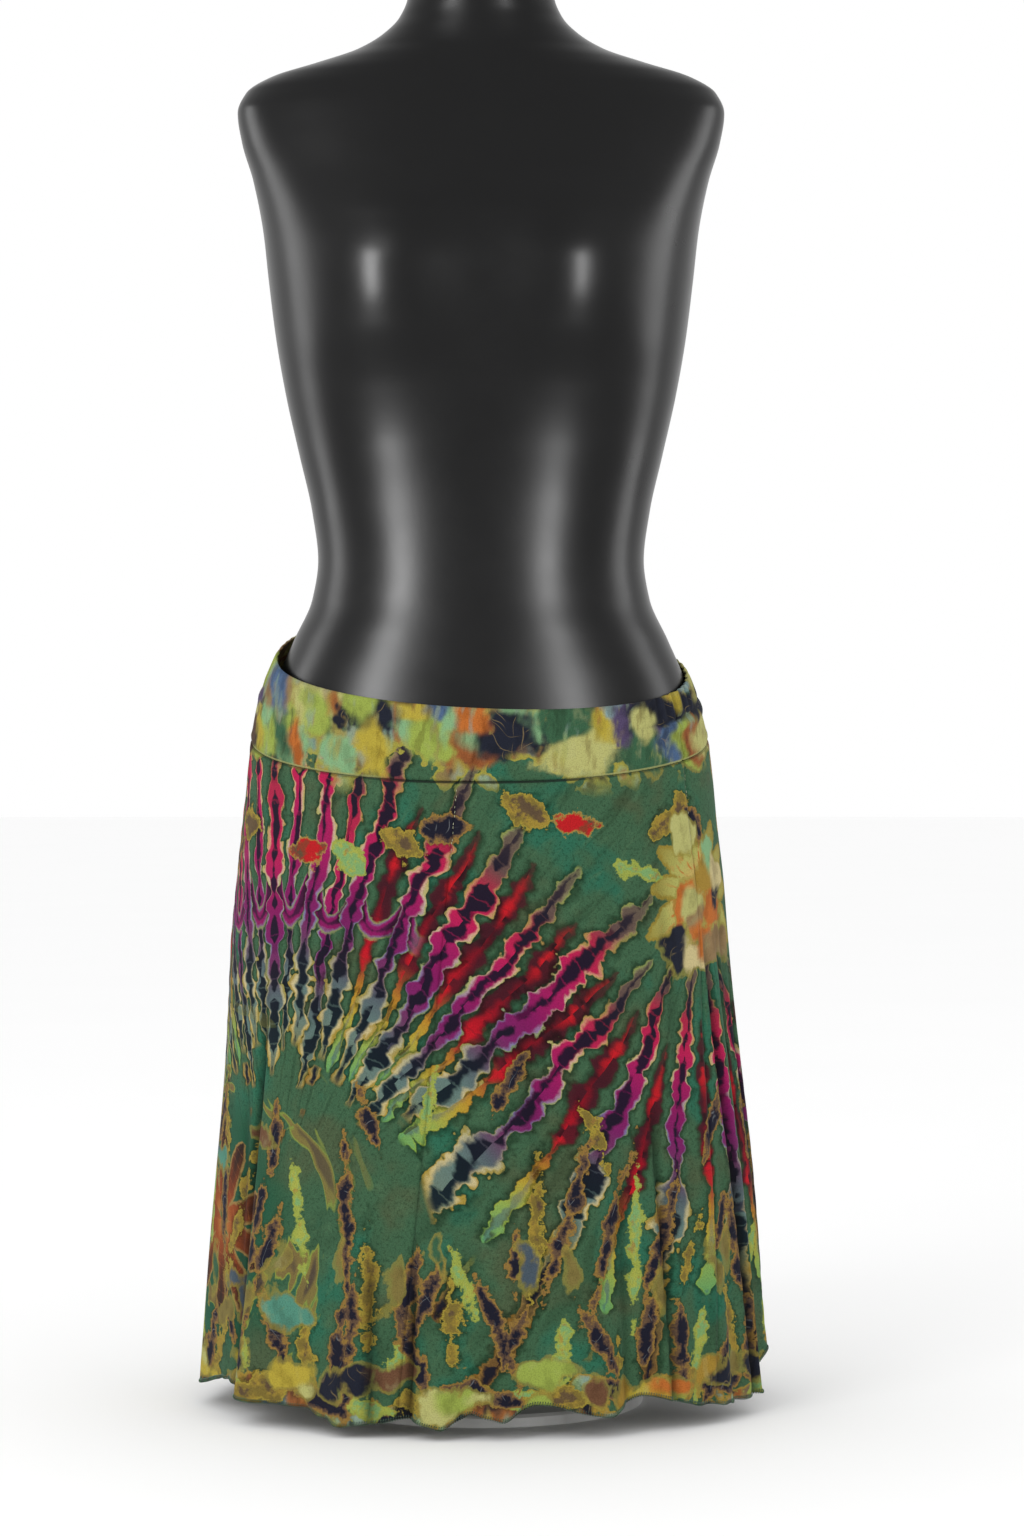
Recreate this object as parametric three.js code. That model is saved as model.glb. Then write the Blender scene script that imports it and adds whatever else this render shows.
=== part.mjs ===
// Mini skirt with a deep yoke and six gores, on a limbless dress form that stands on a small base.
// Millimetres, +Z up, the front towards -Y, the wearer's left side towards +X.
// The origin is the middle of the underside of the base plate.
// Angles go round the skirt in degrees: 0 at the front, 90 at +X, 180 at the back, -90 at -X.

import * as THREE from 'three';

// ---------------------------------------------------------------- driving dimensions

const CLOTH_WALL = 1.5;
const SEAM_GAP = 0.3;
const YOKE_SEAM_HEIGHT = { front: 429, risePerDepth: 0.28 };
const WAIST_EDGE_HEIGHT = { front: 478, risePerDepth: 0.36, dropPerWidth: 0.045 };
const FLUTE_INWARD_SHARE = 4.5;

const FORM_TOP = 1000;
const FORM_BOTTOM = 110;
const BUST = { height: 770, apart: 146, out: 13, wide: 50, tall: 56 };

const BASE_RADIUS = 112;
const BASE_THICKNESS = 8;
const BASE_CHAMFER = 2;
const POST_RADIUS = 15;
const FLANGE_RADIUS = 46;
const FLANGE_THICKNESS = 6;

const GORE_COLUMNS = 20;
const GORE_ROWS = 14;
const YOKE_COLUMNS = 36;
const YOKE_ROWS = 3;
const FORM_COLUMNS = 36;
const ROUND_SIDES = 48;

// The cloth's outside at rest between its flutes: half-widths to -X and +X, depths to the front and back.
const CLOTH_SECTIONS = [
  { height: 4, minusX: 190, plusX: 193, front: 160, back: 160 },
  { height: 55, minusX: 187.5, plusX: 190.5, front: 157, back: 157 },
  { height: 110, minusX: 185, plusX: 188, front: 152.5, back: 153 },
  { height: 166, minusX: 181.5, plusX: 184.5, front: 147, back: 148 },
  { height: 221, minusX: 178, plusX: 179.5, front: 141, back: 142.5 },
  { height: 277, minusX: 175.5, plusX: 174.5, front: 134, back: 137 },
  { height: 318, minusX: 173.5, plusX: 171.5, front: 128, back: 132 },
  { height: 360, minusX: 169.5, plusX: 168.5, front: 121, back: 126 },
  { height: 402, minusX: 165, plusX: 163.5, front: 113, back: 119 },
  { height: 429, minusX: 162, plusX: 161, front: 107, back: 112.5 },
  { height: 457, minusX: 159.5, plusX: 157.5, front: 102.8, back: 105.5 },
  { height: 485, minusX: 154.5, plusX: 150.5, front: 99.8, back: 97.5 },
  { height: 513, minusX: 144, plusX: 139.5, front: 97, back: 89 },
  { height: 550, minusX: 124.5, plusX: 122.5, front: 90, back: 78 },
];
const CLOTH_POWER = 2.15;

// The dress form's smooth sections: half-width, depths to the front and back, and how square it is.
const FORM_SECTIONS = [
  { height: 110, side: 128, front: 78, back: 80, power: 2.2 },
  { height: 113, side: 136, front: 85, back: 87, power: 2.2 },
  { height: 122, side: 144, front: 90, back: 93, power: 2.2 },
  { height: 150, side: 151, front: 93, back: 98, power: 2.15 },
  { height: 200, side: 157, front: 95, back: 104, power: 2.15 },
  { height: 260, side: 162, front: 98, back: 112, power: 2.15 },
  { height: 330, side: 163, front: 99, back: 116, power: 2.15 },
  { height: 400, side: 159, front: 99, back: 111, power: 2.15 },
  { height: 440, side: 155, front: 98, back: 104, power: 2.15 },
  { height: 470, side: 149.5, front: 96.8, back: 96.5, power: 2.15 },
  { height: 500, side: 141, front: 94.5, back: 88, power: 2.15 },
  { height: 527, side: 129.5, front: 90.5, back: 80, power: 2.15 },
  { height: 555, side: 117, front: 86, back: 73, power: 2.15 },
  { height: 582, side: 113, front: 83.5, back: 69, power: 2.15 },
  { height: 615, side: 117, front: 84.5, back: 69.5, power: 2.15 },
  { height: 655, side: 126, front: 89, back: 75, power: 2.15 },
  { height: 695, side: 135, front: 96, back: 83, power: 2.2 },
  { height: 735, side: 142, front: 104, back: 90, power: 2.3 },
  { height: 775, side: 147, front: 107, back: 95, power: 2.35 },
  { height: 810, side: 151, front: 101, back: 97.5, power: 2.35 },
  { height: 845, side: 158, front: 87, back: 97, power: 2.3 },
  { height: 872, side: 166, front: 75, back: 92, power: 2.25 },
  { height: 892, side: 169, front: 66, back: 84, power: 2.2 },
  { height: 906, side: 163, front: 60, back: 76, power: 2.15 },
  { height: 916, side: 147, front: 56, back: 70, power: 2.1 },
  { height: 925, side: 118, front: 53, back: 65, power: 2.05 },
  { height: 935, side: 88, front: 50, back: 59, power: 2.0 },
  { height: 946, side: 69, front: 48, back: 54, power: 2.0 },
  { height: 958, side: 57, front: 46.5, back: 51, power: 2.0 },
  { height: 972, side: 51, front: 46, back: 50, power: 2.0 },
  { height: 990, side: 49, front: 46.5, back: 50, power: 2.0 },
  { height: 997, side: 47.5, front: 45, back: 48.5, power: 2.0 },
  { height: 1000, side: 43.5, front: 41, back: 44.5, power: 2.0 },
];

// The hem's height round the skirt.
const HEM_HEIGHTS = [
  { angle: -180, height: 38 },
  { angle: -160, height: 42 },
  { angle: -140, height: 32 },
  { angle: -120, height: 31 },
  { angle: -104, height: 22 },
  { angle: -88, height: 14 },
  { angle: -70, height: 25 },
  { angle: -56, height: 17 },
  { angle: -44, height: 17 },
  { angle: -30, height: 8 },
  { angle: -18, height: 13 },
  { angle: -9, height: 8 },
  { angle: -2, height: 17 },
  { angle: 5, height: 13 },
  { angle: 14, height: 23 },
  { angle: 27, height: 15 },
  { angle: 40, height: 25 },
  { angle: 52, height: 16 },
  { angle: 66, height: 13 },
  { angle: 84, height: 17 },
  { angle: 104, height: 36 },
  { angle: 122, height: 44 },
  { angle: 140, height: 34 },
  { angle: 160, height: 42 },
];

// The flutes: where each ridge lies at the hem and at the yoke seam, how wide its two flanks are in
// degrees, how far it stands out at the hem, how far it leans sideways, and how far down it starts.
const FLUTES = [
  { hem: -158, seam: -150, minus: 8, plus: 9, out: 12, lean: 0, starts: 0.45 },
  { hem: -138, seam: -130, minus: 8, plus: 7, out: 11, lean: 3, starts: 0.4 },
  { hem: -120, seam: -112, minus: 7, plus: 7, out: 12, lean: -3, starts: 0.35 },
  { hem: -103, seam: -97, minus: 7, plus: 6, out: 10, lean: 0, starts: 0.35 },
  { hem: -86, seam: -84, minus: 7, plus: 7, out: 10, lean: 0, starts: 0.4 },
  { hem: -57, seam: -52, minus: 4, plus: 10, out: 13, lean: -6, starts: 0.45 },
  { hem: -30, seam: -26, minus: 8, plus: 7, out: 11, lean: 0, starts: 0.5 },
  { hem: -10, seam: -6, minus: 5, plus: 5, out: 9, lean: 0, starts: 0.6 },
  { hem: 4.5, seam: 8, minus: 5, plus: 5, out: 8, lean: 0, starts: 0.6 },
  { hem: 28, seam: 24, minus: 9, plus: 5, out: 13, lean: 5, starts: 0.5 },
  { hem: 48, seam: 46, minus: 6, plus: 5, out: 9, lean: 0, starts: 0.45 },
  { hem: 60, seam: 58, minus: 5, plus: 4, out: 10, lean: 2, starts: 0.3 },
  { hem: 72, seam: 68, minus: 5, plus: 4, out: 13, lean: 4, starts: 0.2 },
  { hem: 84, seam: 80, minus: 5, plus: 5, out: 13, lean: 3, starts: 0.2 },
  { hem: 104, seam: 100, minus: 8, plus: 7, out: 15, lean: 0, starts: 0.3 },
  { hem: 124, seam: 118, minus: 8, plus: 7, out: 11, lean: -3, starts: 0.4 },
  { hem: 143, seam: 138, minus: 7, plus: 8, out: 13, lean: 0, starts: 0.4 },
  { hem: 163, seam: 160, minus: 8, plus: 7, out: 10, lean: 0, starts: 0.5 },
  { hem: 181, seam: 180, minus: 7, plus: 7, out: 12, lean: 0, starts: 0.45 },
];

// The gores in order round the skirt, each with the seam on its minus side, at the yoke and at the hem.
const GORES = [
  { name: 'gore_front_right', seam: -84, hem: -96 },
  { name: 'gore_front_left', seam: -8, hem: -19.5 },
  { name: 'gore_side_left', seam: 68, hem: 57 },
  { name: 'gore_back_left', seam: 122, hem: 111 },
  { name: 'gore_back_right', seam: 172, hem: 161 },
  { name: 'gore_side_right', seam: 222, hem: 211 },
];
const YOKE_PANELS = [
  { name: 'yoke_front', from: -112, to: 68 },
  { name: 'yoke_back', from: 68, to: 248 },
];

// ---------------------------------------------------------------- materials

const MATERIALS = {
  jersey: new THREE.MeshStandardMaterial({ color: 0x3f7257, roughness: 0.75, metalness: 0 }),
  yokeJersey: new THREE.MeshStandardMaterial({ color: 0x7d8a55, roughness: 0.75, metalness: 0 }),
  form: new THREE.MeshStandardMaterial({ color: 0x101112, roughness: 0.25, metalness: 0 }),
  steel: new THREE.MeshStandardMaterial({ color: 0x8d9093, roughness: 0.4, metalness: 1 }),
};

// ---------------------------------------------------------------- curves through the tables

const radians = THREE.MathUtils.degToRad;
const lerp = THREE.MathUtils.lerp;
const clamp = THREE.MathUtils.clamp;

/** A smooth curve through a table's rows, with no overshoot between them. */
function curveThrough(rows, at, column) {
  const xs = rows.map((row) => row[at]);
  const ys = rows.map((row) => row[column]);
  const steps = xs.slice(1).map((x, i) => (ys[i + 1] - ys[i]) / (x - xs[i]));
  const slopes = xs.map((_, i) => {
    const before = steps[i - 1] ?? steps[0];
    const after = steps[i] ?? steps[steps.length - 1];
    return before * after > 0 ? (2 * before * after) / (before + after) : 0;
  });
  return (x) => {
    const at1 = clamp(xs.findIndex((known) => known > x), 1, xs.length - 1);
    const i = x >= xs[xs.length - 1] ? xs.length - 2 : at1 - 1;
    const width = xs[i + 1] - xs[i];
    const t = clamp((x - xs[i]) / width, 0, 1);
    const rise = t * t * (3 - 2 * t);
    const curl = t * (1 - t) * width;
    return lerp(ys[i], ys[i + 1], rise) + curl * ((1 - t) * slopes[i] - t * slopes[i + 1]);
  };
}

/** One curve for each column of a table. */
function curvesThrough(rows, at, columns) {
  return Object.fromEntries(columns.map((column) => [column, curveThrough(rows, at, column)]));
}

/** The angle brought to between -180 and 180 degrees. */
function wrapAngle(angle) {
  return angle - 360 * Math.round(angle / 360);
}

/** Distance from the upright axis to a closed curve whose corners are as square as its power says. */
function ovalRadius(angle, half, depth, power) {
  const across = Math.abs(Math.sin(radians(angle))) / half;
  const along = Math.abs(Math.cos(radians(angle))) / depth;
  return (across ** power + along ** power) ** (-1 / power);
}

/** The point at a radius and angle, at a height. */
function polarPoint(radius, angle, height) {
  return new THREE.Vector3(radius * Math.sin(radians(angle)), -radius * Math.cos(radians(angle)), height);
}

// ---------------------------------------------------------------- the cloth's surface

const cloth = curvesThrough(CLOTH_SECTIONS, 'height', ['minusX', 'plusX', 'front', 'back']);
const firstHem = HEM_HEIGHTS[0];
const hemHeight = curveThrough([...HEM_HEIGHTS, { ...firstHem, angle: 180 }], 'angle', 'height');

function clothRadius(angle, height) {
  const half = Math.sin(radians(angle)) < 0 ? cloth.minusX(height) : cloth.plusX(height);
  const depth = Math.cos(radians(angle)) < 0 ? cloth.back(height) : cloth.front(height);
  return ovalRadius(angle, half, depth, CLOTH_POWER);
}

/** The height of the seam between yoke and gores: it rises towards the back. */
function yokeSeamHeight(angle) {
  const frontHeight = YOKE_SEAM_HEIGHT.front;
  const front = polarPoint(clothRadius(0, frontHeight), 0, 0);
  const here = polarPoint(clothRadius(angle, frontHeight), angle, 0);
  return frontHeight + YOKE_SEAM_HEIGHT.risePerDepth * (here.y - front.y);
}

/** The height of the waist edge: it rises towards the back and drops a little towards +X. */
function waistEdgeHeight(angle) {
  const frontHeight = WAIST_EDGE_HEIGHT.front;
  const front = polarPoint(clothRadius(0, frontHeight), 0, 0);
  const here = polarPoint(clothRadius(angle, frontHeight), angle, 0);
  const rise = WAIST_EDGE_HEIGHT.risePerDepth * (here.y - front.y);
  return frontHeight + rise - WAIST_EDGE_HEIGHT.dropPerWidth * here.x;
}

/** How far the flutes move the cloth outwards and sideways, at a share of the way down to the hem. */
function fluteShift(angle, down) {
  const shift = { out: 0, aside: 0 };
  for (const flute of FLUTES) {
    const grown = clamp((down - flute.starts) / (1 - flute.starts), 0, 1) ** 1.3;
    const away = wrapAngle(angle - lerp(flute.seam, flute.hem, down));
    const ridge = grown * Math.exp(-((away / (away < 0 ? flute.minus : flute.plus)) ** 2));
    shift.out += flute.out * ridge;
    shift.aside += flute.lean * ridge;
  }
  shift.out -= FLUTE_INWARD_SHARE * down ** 2;
  return shift;
}

/** A point of a wall's outside, or of its inside, which lies one wall's thickness in from it. */
function wallPoint(outsideAt, angle, inside) {
  const outside = outsideAt(angle);
  if (!inside) return outside;
  const along = outsideAt(angle + 0.2).sub(outsideAt(angle - 0.2)).setZ(0).normalize();
  return outside.add(new THREE.Vector3(-along.y, along.x, 0).multiplyScalar(CLOTH_WALL));
}

/** A point of the skirt below the yoke, at a share of the way from the seam down to the hem. */
function gorePoint(angle, down, inside) {
  const outsideAt = (turned) => {
    const top = yokeSeamHeight(turned) - SEAM_GAP / 2;
    const height = lerp(top, hemHeight(wrapAngle(turned)), down);
    const radius = clothRadius(turned, height);
    const shift = fluteShift(turned, down);
    const aside = THREE.MathUtils.radToDeg(shift.aside / radius);
    return polarPoint(radius + shift.out, turned + aside, height);
  };
  return wallPoint(outsideAt, angle, inside);
}

/** A point of the yoke, at a share of the way from its seam up to the waist edge. */
function yokePoint(angle, up, inside) {
  const outsideAt = (turned) => {
    const height = lerp(yokeSeamHeight(turned) + SEAM_GAP / 2, waistEdgeHeight(turned), up);
    return polarPoint(clothRadius(turned, height), turned, height);
  };
  return wallPoint(outsideAt, angle, inside);
}

// ---------------------------------------------------------------- solids

function meshOf(name, points, triangles, material) {
  const geometry = new THREE.BufferGeometry();
  geometry.setAttribute('position', new THREE.Float32BufferAttribute(points.flatMap((p) => p.toArray()), 3));
  geometry.setIndex(triangles);
  geometry.computeVertexNormals();
  const mesh = new THREE.Mesh(geometry, material);
  mesh.name = name;
  return mesh;
}

/** A panel of cloth as a closed wall: an outside grid, an inside grid and the four edges between them. */
function clothPanel(name, columns, rows, pointAt, material) {
  const points = [];
  const triangles = [];
  const number = (inside, row, column) => (inside * (rows + 1) + row) * (columns + 1) + column;
  const quad = (a, b, c, d) => triangles.push(a, b, c, a, c, d);
  for (const inside of [0, 1]) {
    for (let row = 0; row <= rows; row += 1) {
      for (let column = 0; column <= columns; column += 1) {
        points.push(pointAt(column / columns, row / rows, inside === 1));
      }
    }
  }
  for (let row = 0; row < rows; row += 1) {
    for (let column = 0; column < columns; column += 1) {
      const corners = (inside) => [
        number(inside, row, column),
        number(inside, row, column + 1),
        number(inside, row + 1, column + 1),
        number(inside, row + 1, column),
      ];
      quad(...corners(0));
      quad(...corners(1).reverse());
    }
  }
  for (let column = 0; column < columns; column += 1) {
    for (const [row, ahead] of [[0, 0], [rows, 1]]) {
      const near = column + ahead;
      const far = column + 1 - ahead;
      quad(number(0, row, near), number(1, row, near), number(1, row, far), number(0, row, far));
    }
  }
  for (let row = 0; row < rows; row += 1) {
    for (const [column, ahead] of [[0, 1], [columns, 0]]) {
      const near = row + ahead;
      const far = row + 1 - ahead;
      quad(number(0, near, column), number(1, near, column), number(1, far, column), number(0, far, column));
    }
  }
  return meshOf(name, points, triangles, material);
}

/** Half the seam gap as an angle, where the cloth is this far from the axis. */
function halfGap(radius) {
  return THREE.MathUtils.radToDeg(SEAM_GAP / 2 / radius);
}

function gore(panel, next) {
  const pointAt = (across, up, inside) => {
    const down = 1 - up;
    const turn = next.seam < panel.seam ? 360 : 0;
    const first = lerp(panel.seam, panel.hem, down);
    const last = lerp(next.seam, next.hem, down) + turn;
    const height = lerp(yokeSeamHeight(first), hemHeight(wrapAngle(first)), down);
    const trim = halfGap(clothRadius(first, height));
    return gorePoint(lerp(first + trim, last - trim, across), down, inside);
  };
  return clothPanel(panel.name, GORE_COLUMNS, GORE_ROWS, pointAt, MATERIALS.jersey);
}

function yokePanel(panel) {
  const trim = halfGap(clothRadius(panel.from, YOKE_SEAM_HEIGHT.front));
  const pointAt = (across, up, inside) =>
    yokePoint(lerp(panel.from + trim, panel.to - trim, across), up, inside);
  return clothPanel(panel.name, YOKE_COLUMNS, YOKE_ROWS, pointAt, MATERIALS.yokeJersey);
}

/** The dress form: its sections joined into one smooth body, closed flat below and at the neck. */
function dressForm() {
  const form = curvesThrough(FORM_SECTIONS, 'height', ['side', 'front', 'back', 'power']);
  const points = [];
  const triangles = [];
  const rings = FORM_SECTIONS.flatMap(({ height }, i) => {
    const next = FORM_SECTIONS[i + 1];
    return next && next.height - height > 26 ? [height, (height + next.height) / 2] : [height];
  });
  for (const height of rings) {
    for (let column = 0; column < FORM_COLUMNS; column += 1) {
      const angle = (column * 360) / FORM_COLUMNS;
      const depth = Math.cos(radians(angle)) < 0 ? form.back(height) : form.front(height);
      const radius = ovalRadius(angle, form.side(height), depth, form.power(height));
      points.push(polarPoint(radius, angle, height).add(bustShift(angle, radius, height)));
    }
  }
  const number = (ring, column) => ring * FORM_COLUMNS + (column % FORM_COLUMNS);
  for (let ring = 0; ring + 1 < rings.length; ring += 1) {
    for (let column = 0; column < FORM_COLUMNS; column += 1) {
      const [a, b] = [number(ring, column), number(ring, column + 1)];
      const [c, d] = [number(ring + 1, column + 1), number(ring + 1, column)];
      triangles.push(a, b, c, a, c, d);
    }
  }
  const bottom = points.push(new THREE.Vector3(0, 0, FORM_BOTTOM)) - 1;
  const top = points.push(new THREE.Vector3(0, 0, FORM_TOP)) - 1;
  for (let column = 0; column < FORM_COLUMNS; column += 1) {
    const last = rings.length - 1;
    triangles.push(bottom, number(0, column + 1), number(0, column));
    triangles.push(top, number(last, column), number(last, column + 1));
  }
  return meshOf('form_torso', points, triangles, MATERIALS.form);
}

/** How far the bust stands forward of the plain section, as two soft rounds side by side. */
function bustShift(angle, radius, height) {
  const across = radius * Math.sin(radians(angle));
  const facing = Math.max(Math.cos(radians(angle)), 0) ** 0.5;
  const tall = Math.exp(-(((height - BUST.height) / BUST.tall) ** 2));
  const wide = [-1, 1].reduce(
    (sum, side) => sum + Math.exp(-(((across - (side * BUST.apart) / 2) / BUST.wide) ** 2)), 0);
  return new THREE.Vector3(0, -BUST.out * facing * tall * wide, 0);
}

/** An upright round piece from a profile of [radius, height] pairs that starts and ends on the axis. */
function turned(name, profile, material) {
  const outline = profile.map(([radius, height]) => new THREE.Vector2(radius, height));
  const mesh = new THREE.Mesh(new THREE.LatheGeometry(outline, ROUND_SIDES), material);
  mesh.rotation.x = Math.PI / 2;
  mesh.name = name;
  return mesh;
}

function stand() {
  const plateTop = BASE_THICKNESS;
  const flangeTop = FORM_BOTTOM - SEAM_GAP;
  const flangeBottom = flangeTop - FLANGE_THICKNESS;
  const base = turned('stand_base', [
    [0, 0],
    [BASE_RADIUS, 0],
    [BASE_RADIUS, plateTop - BASE_CHAMFER],
    [BASE_RADIUS - BASE_CHAMFER, plateTop],
    [0, plateTop],
  ], MATERIALS.steel);
  const post = turned('stand_post', [
    [0, plateTop + SEAM_GAP],
    [POST_RADIUS, plateTop + SEAM_GAP],
    [POST_RADIUS, flangeBottom - SEAM_GAP],
    [0, flangeBottom - SEAM_GAP],
  ], MATERIALS.steel);
  const flange = turned('stand_flange', [
    [0, flangeBottom],
    [FLANGE_RADIUS, flangeBottom],
    [FLANGE_RADIUS, flangeTop],
    [0, flangeTop],
  ], MATERIALS.steel);
  return [base, post, flange];
}

// ---------------------------------------------------------------- the whole part

const part = new THREE.Group();
part.add(...GORES.map((panel, i) => gore(panel, GORES[(i + 1) % GORES.length])));
part.add(...YOKE_PANELS.map(yokePanel));
part.add(dressForm());
part.add(...stand());

export default part;
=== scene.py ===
"""Tie-dyed mini skirt with a contour yoke and six gores, on a smooth limbless dress form.

The tables are in millimetres, and points turn into metres where a mesh is made. Angles go round the
skirt in degrees: 0 at the front, 90 at +X, 180 at the back, -90 at -X. Heights are above the floor.
"""

import logging
import math
from dataclasses import dataclass
from enum import Enum
from typing import Iterator, NamedTuple, Sequence

import bpy
import numpy as np
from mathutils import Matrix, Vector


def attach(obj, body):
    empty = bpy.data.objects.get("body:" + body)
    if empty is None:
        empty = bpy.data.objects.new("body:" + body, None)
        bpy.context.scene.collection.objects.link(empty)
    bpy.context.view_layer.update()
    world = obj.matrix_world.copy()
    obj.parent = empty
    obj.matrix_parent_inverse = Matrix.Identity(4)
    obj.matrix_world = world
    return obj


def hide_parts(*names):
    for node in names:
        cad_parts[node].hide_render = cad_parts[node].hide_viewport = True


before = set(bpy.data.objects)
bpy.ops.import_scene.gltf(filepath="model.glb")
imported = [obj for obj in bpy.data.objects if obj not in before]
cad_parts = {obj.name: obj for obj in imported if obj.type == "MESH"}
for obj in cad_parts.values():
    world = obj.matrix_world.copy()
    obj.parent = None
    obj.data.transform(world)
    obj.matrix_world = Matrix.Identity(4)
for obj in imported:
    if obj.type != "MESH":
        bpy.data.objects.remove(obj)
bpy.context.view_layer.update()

LOG = logging.getLogger("skirt")
MM = 0.001
STUDIO_TONE = 0.78


# ------------------------------------------------------------------ the cloth's and the form's tables


class ClothSection(NamedTuple):
    """The cloth's outside at one height, between its flutes: half-widths to each side and depths."""

    height: float
    minus_x: float
    plus_x: float
    front: float
    back: float


class FormSection(NamedTuple):
    """The dress form at one height: half-width, depths to front and back, and how square it is."""

    height: float
    side: float
    front: float
    back: float
    power: float


class EdgeHeight(NamedTuple):
    """The height of an edge or seam at one angle."""

    angle: float
    height: float


class Flute(NamedTuple):
    """One flute: its ridge's angle at the hem and at the yoke seam, the widths of its two flanks in
    degrees, how far it stands out and leans sideways at the hem, and how far down it starts."""

    hem: float
    seam: float
    minus: float
    plus: float
    out: float
    lean: float
    starts: float


class Crease(NamedTuple):
    """One soft crease down the skirt: its angle and its share of the way down at both ends, how wide
    it is in degrees and how deep, with a ridge above zero and a trough below."""

    top_angle: float
    top: float
    low_angle: float
    low: float
    width: float
    depth: float


CLOTH_SECTIONS = (
    ClothSection(4, 190, 193, 160, 160),
    ClothSection(55, 187.5, 190.5, 157, 157),
    ClothSection(110, 185, 188, 152.5, 153),
    ClothSection(166, 181.5, 184.5, 147, 148),
    ClothSection(221, 178, 179.5, 141, 142.5),
    ClothSection(277, 175.5, 174.5, 134, 137),
    ClothSection(318, 173.5, 171.5, 128, 132),
    ClothSection(360, 169.5, 168.5, 121, 126),
    ClothSection(402, 165, 163.5, 113, 119),
    ClothSection(429, 162, 161, 107, 112.5),
    ClothSection(457, 159.5, 157.5, 102.8, 105.5),
    ClothSection(485, 154.5, 150.5, 99.8, 97.5),
    ClothSection(513, 144, 139.5, 97, 89),
    ClothSection(550, 124.5, 122.5, 90, 78),
)
CLOTH_POWER = 2.15

FORM_SECTIONS = (
    FormSection(110, 128, 78, 80, 2.2),
    FormSection(113, 136, 85, 87, 2.2),
    FormSection(122, 144, 90, 93, 2.2),
    FormSection(150, 151, 93, 98, 2.15),
    FormSection(200, 157, 95, 104, 2.15),
    FormSection(260, 162, 98, 112, 2.15),
    FormSection(330, 163, 99, 116, 2.15),
    FormSection(400, 159, 99, 111, 2.15),
    FormSection(440, 155, 98, 104, 2.15),
    FormSection(470, 149.5, 96.8, 96.5, 2.15),
    FormSection(500, 141, 94.5, 88, 2.15),
    FormSection(527, 129.5, 90.5, 80, 2.15),
    FormSection(555, 117, 86, 73, 2.15),
    FormSection(582, 113, 83.5, 69, 2.15),
    FormSection(615, 117, 84.5, 69.5, 2.15),
    FormSection(655, 126, 89, 75, 2.15),
    FormSection(695, 135, 96, 83, 2.2),
    FormSection(735, 142, 104, 90, 2.3),
    FormSection(775, 147, 107, 95, 2.35),
    FormSection(810, 151, 101, 97.5, 2.35),
    FormSection(845, 158, 87, 97, 2.3),
    FormSection(872, 166, 75, 92, 2.25),
    FormSection(892, 169, 66, 84, 2.2),
    FormSection(906, 163, 60, 76, 2.15),
    FormSection(916, 147, 56, 70, 2.1),
    FormSection(925, 118, 53, 65, 2.05),
    FormSection(935, 88, 50, 59, 2.0),
    FormSection(946, 69, 48, 54, 2.0),
    FormSection(958, 57, 46.5, 51, 2.0),
    FormSection(972, 51, 46, 50, 2.0),
    FormSection(990, 49, 46.5, 50, 2.0),
    FormSection(997, 47.5, 45, 48.5, 2.0),
    FormSection(1000, 43.5, 41, 44.5, 2.0),
)

YOKE_SEAM_HEIGHT = 429.0
YOKE_SEAM_RISE = 0.28
WAIST_HEIGHT = 478.0
WAIST_RISE = 0.36
WAIST_DROP = 0.045
SEAM_GAP = 0.3
HEM = (
    EdgeHeight(-180, 38),
    EdgeHeight(-160, 42),
    EdgeHeight(-140, 32),
    EdgeHeight(-120, 31),
    EdgeHeight(-104, 22),
    EdgeHeight(-88, 14),
    EdgeHeight(-70, 25),
    EdgeHeight(-56, 17),
    EdgeHeight(-44, 17),
    EdgeHeight(-30, 8),
    EdgeHeight(-18, 13),
    EdgeHeight(-9, 8),
    EdgeHeight(-2, 17),
    EdgeHeight(5, 13),
    EdgeHeight(14, 23),
    EdgeHeight(27, 15),
    EdgeHeight(40, 25),
    EdgeHeight(52, 16),
    EdgeHeight(66, 13),
    EdgeHeight(75, 15),
    EdgeHeight(83, 40),
    EdgeHeight(92, 43),
    EdgeHeight(104, 43),
    EdgeHeight(122, 44),
    EdgeHeight(140, 34),
    EdgeHeight(160, 42),
)

FLUTES = (
    Flute(-158, -150, 8, 9, 12, 0, 0.45),
    Flute(-138, -130, 8, 7, 11, 3, 0.4),
    Flute(-120, -112, 7, 7, 12, -3, 0.35),
    Flute(-103, -97, 7, 6, 10, 0, 0.35),
    Flute(-86, -84, 7, 7, 10, 0, 0.4),
    Flute(-57, -52, 4, 10, 13, -6, 0.45),
    Flute(-30, -26, 8, 7, 11, 0, 0.5),
    Flute(-10, -6, 5, 5, 9, 0, 0.6),
    Flute(4.5, 8, 5, 5, 8, 0, 0.6),
    Flute(28, 24, 9, 5, 13, 5, 0.5),
    Flute(48, 46, 6, 5, 9, 0, 0.45),
    Flute(60, 58, 5, 4, 10, 2, 0.3),
    Flute(72, 68, 5, 4, 13, 4, 0.2),
    Flute(84, 80, 5, 5, 13, 3, 0.2),
    Flute(104, 100, 8, 7, 15, 0, 0.3),
    Flute(124, 118, 8, 7, 11, -3, 0.4),
    Flute(143, 138, 7, 8, 13, 0, 0.4),
    Flute(163, 160, 8, 7, 10, 0, 0.5),
    Flute(181, 180, 7, 7, 12, 0, 0.45),
)
FLUTE_INWARD_SHARE = 4.5

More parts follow.
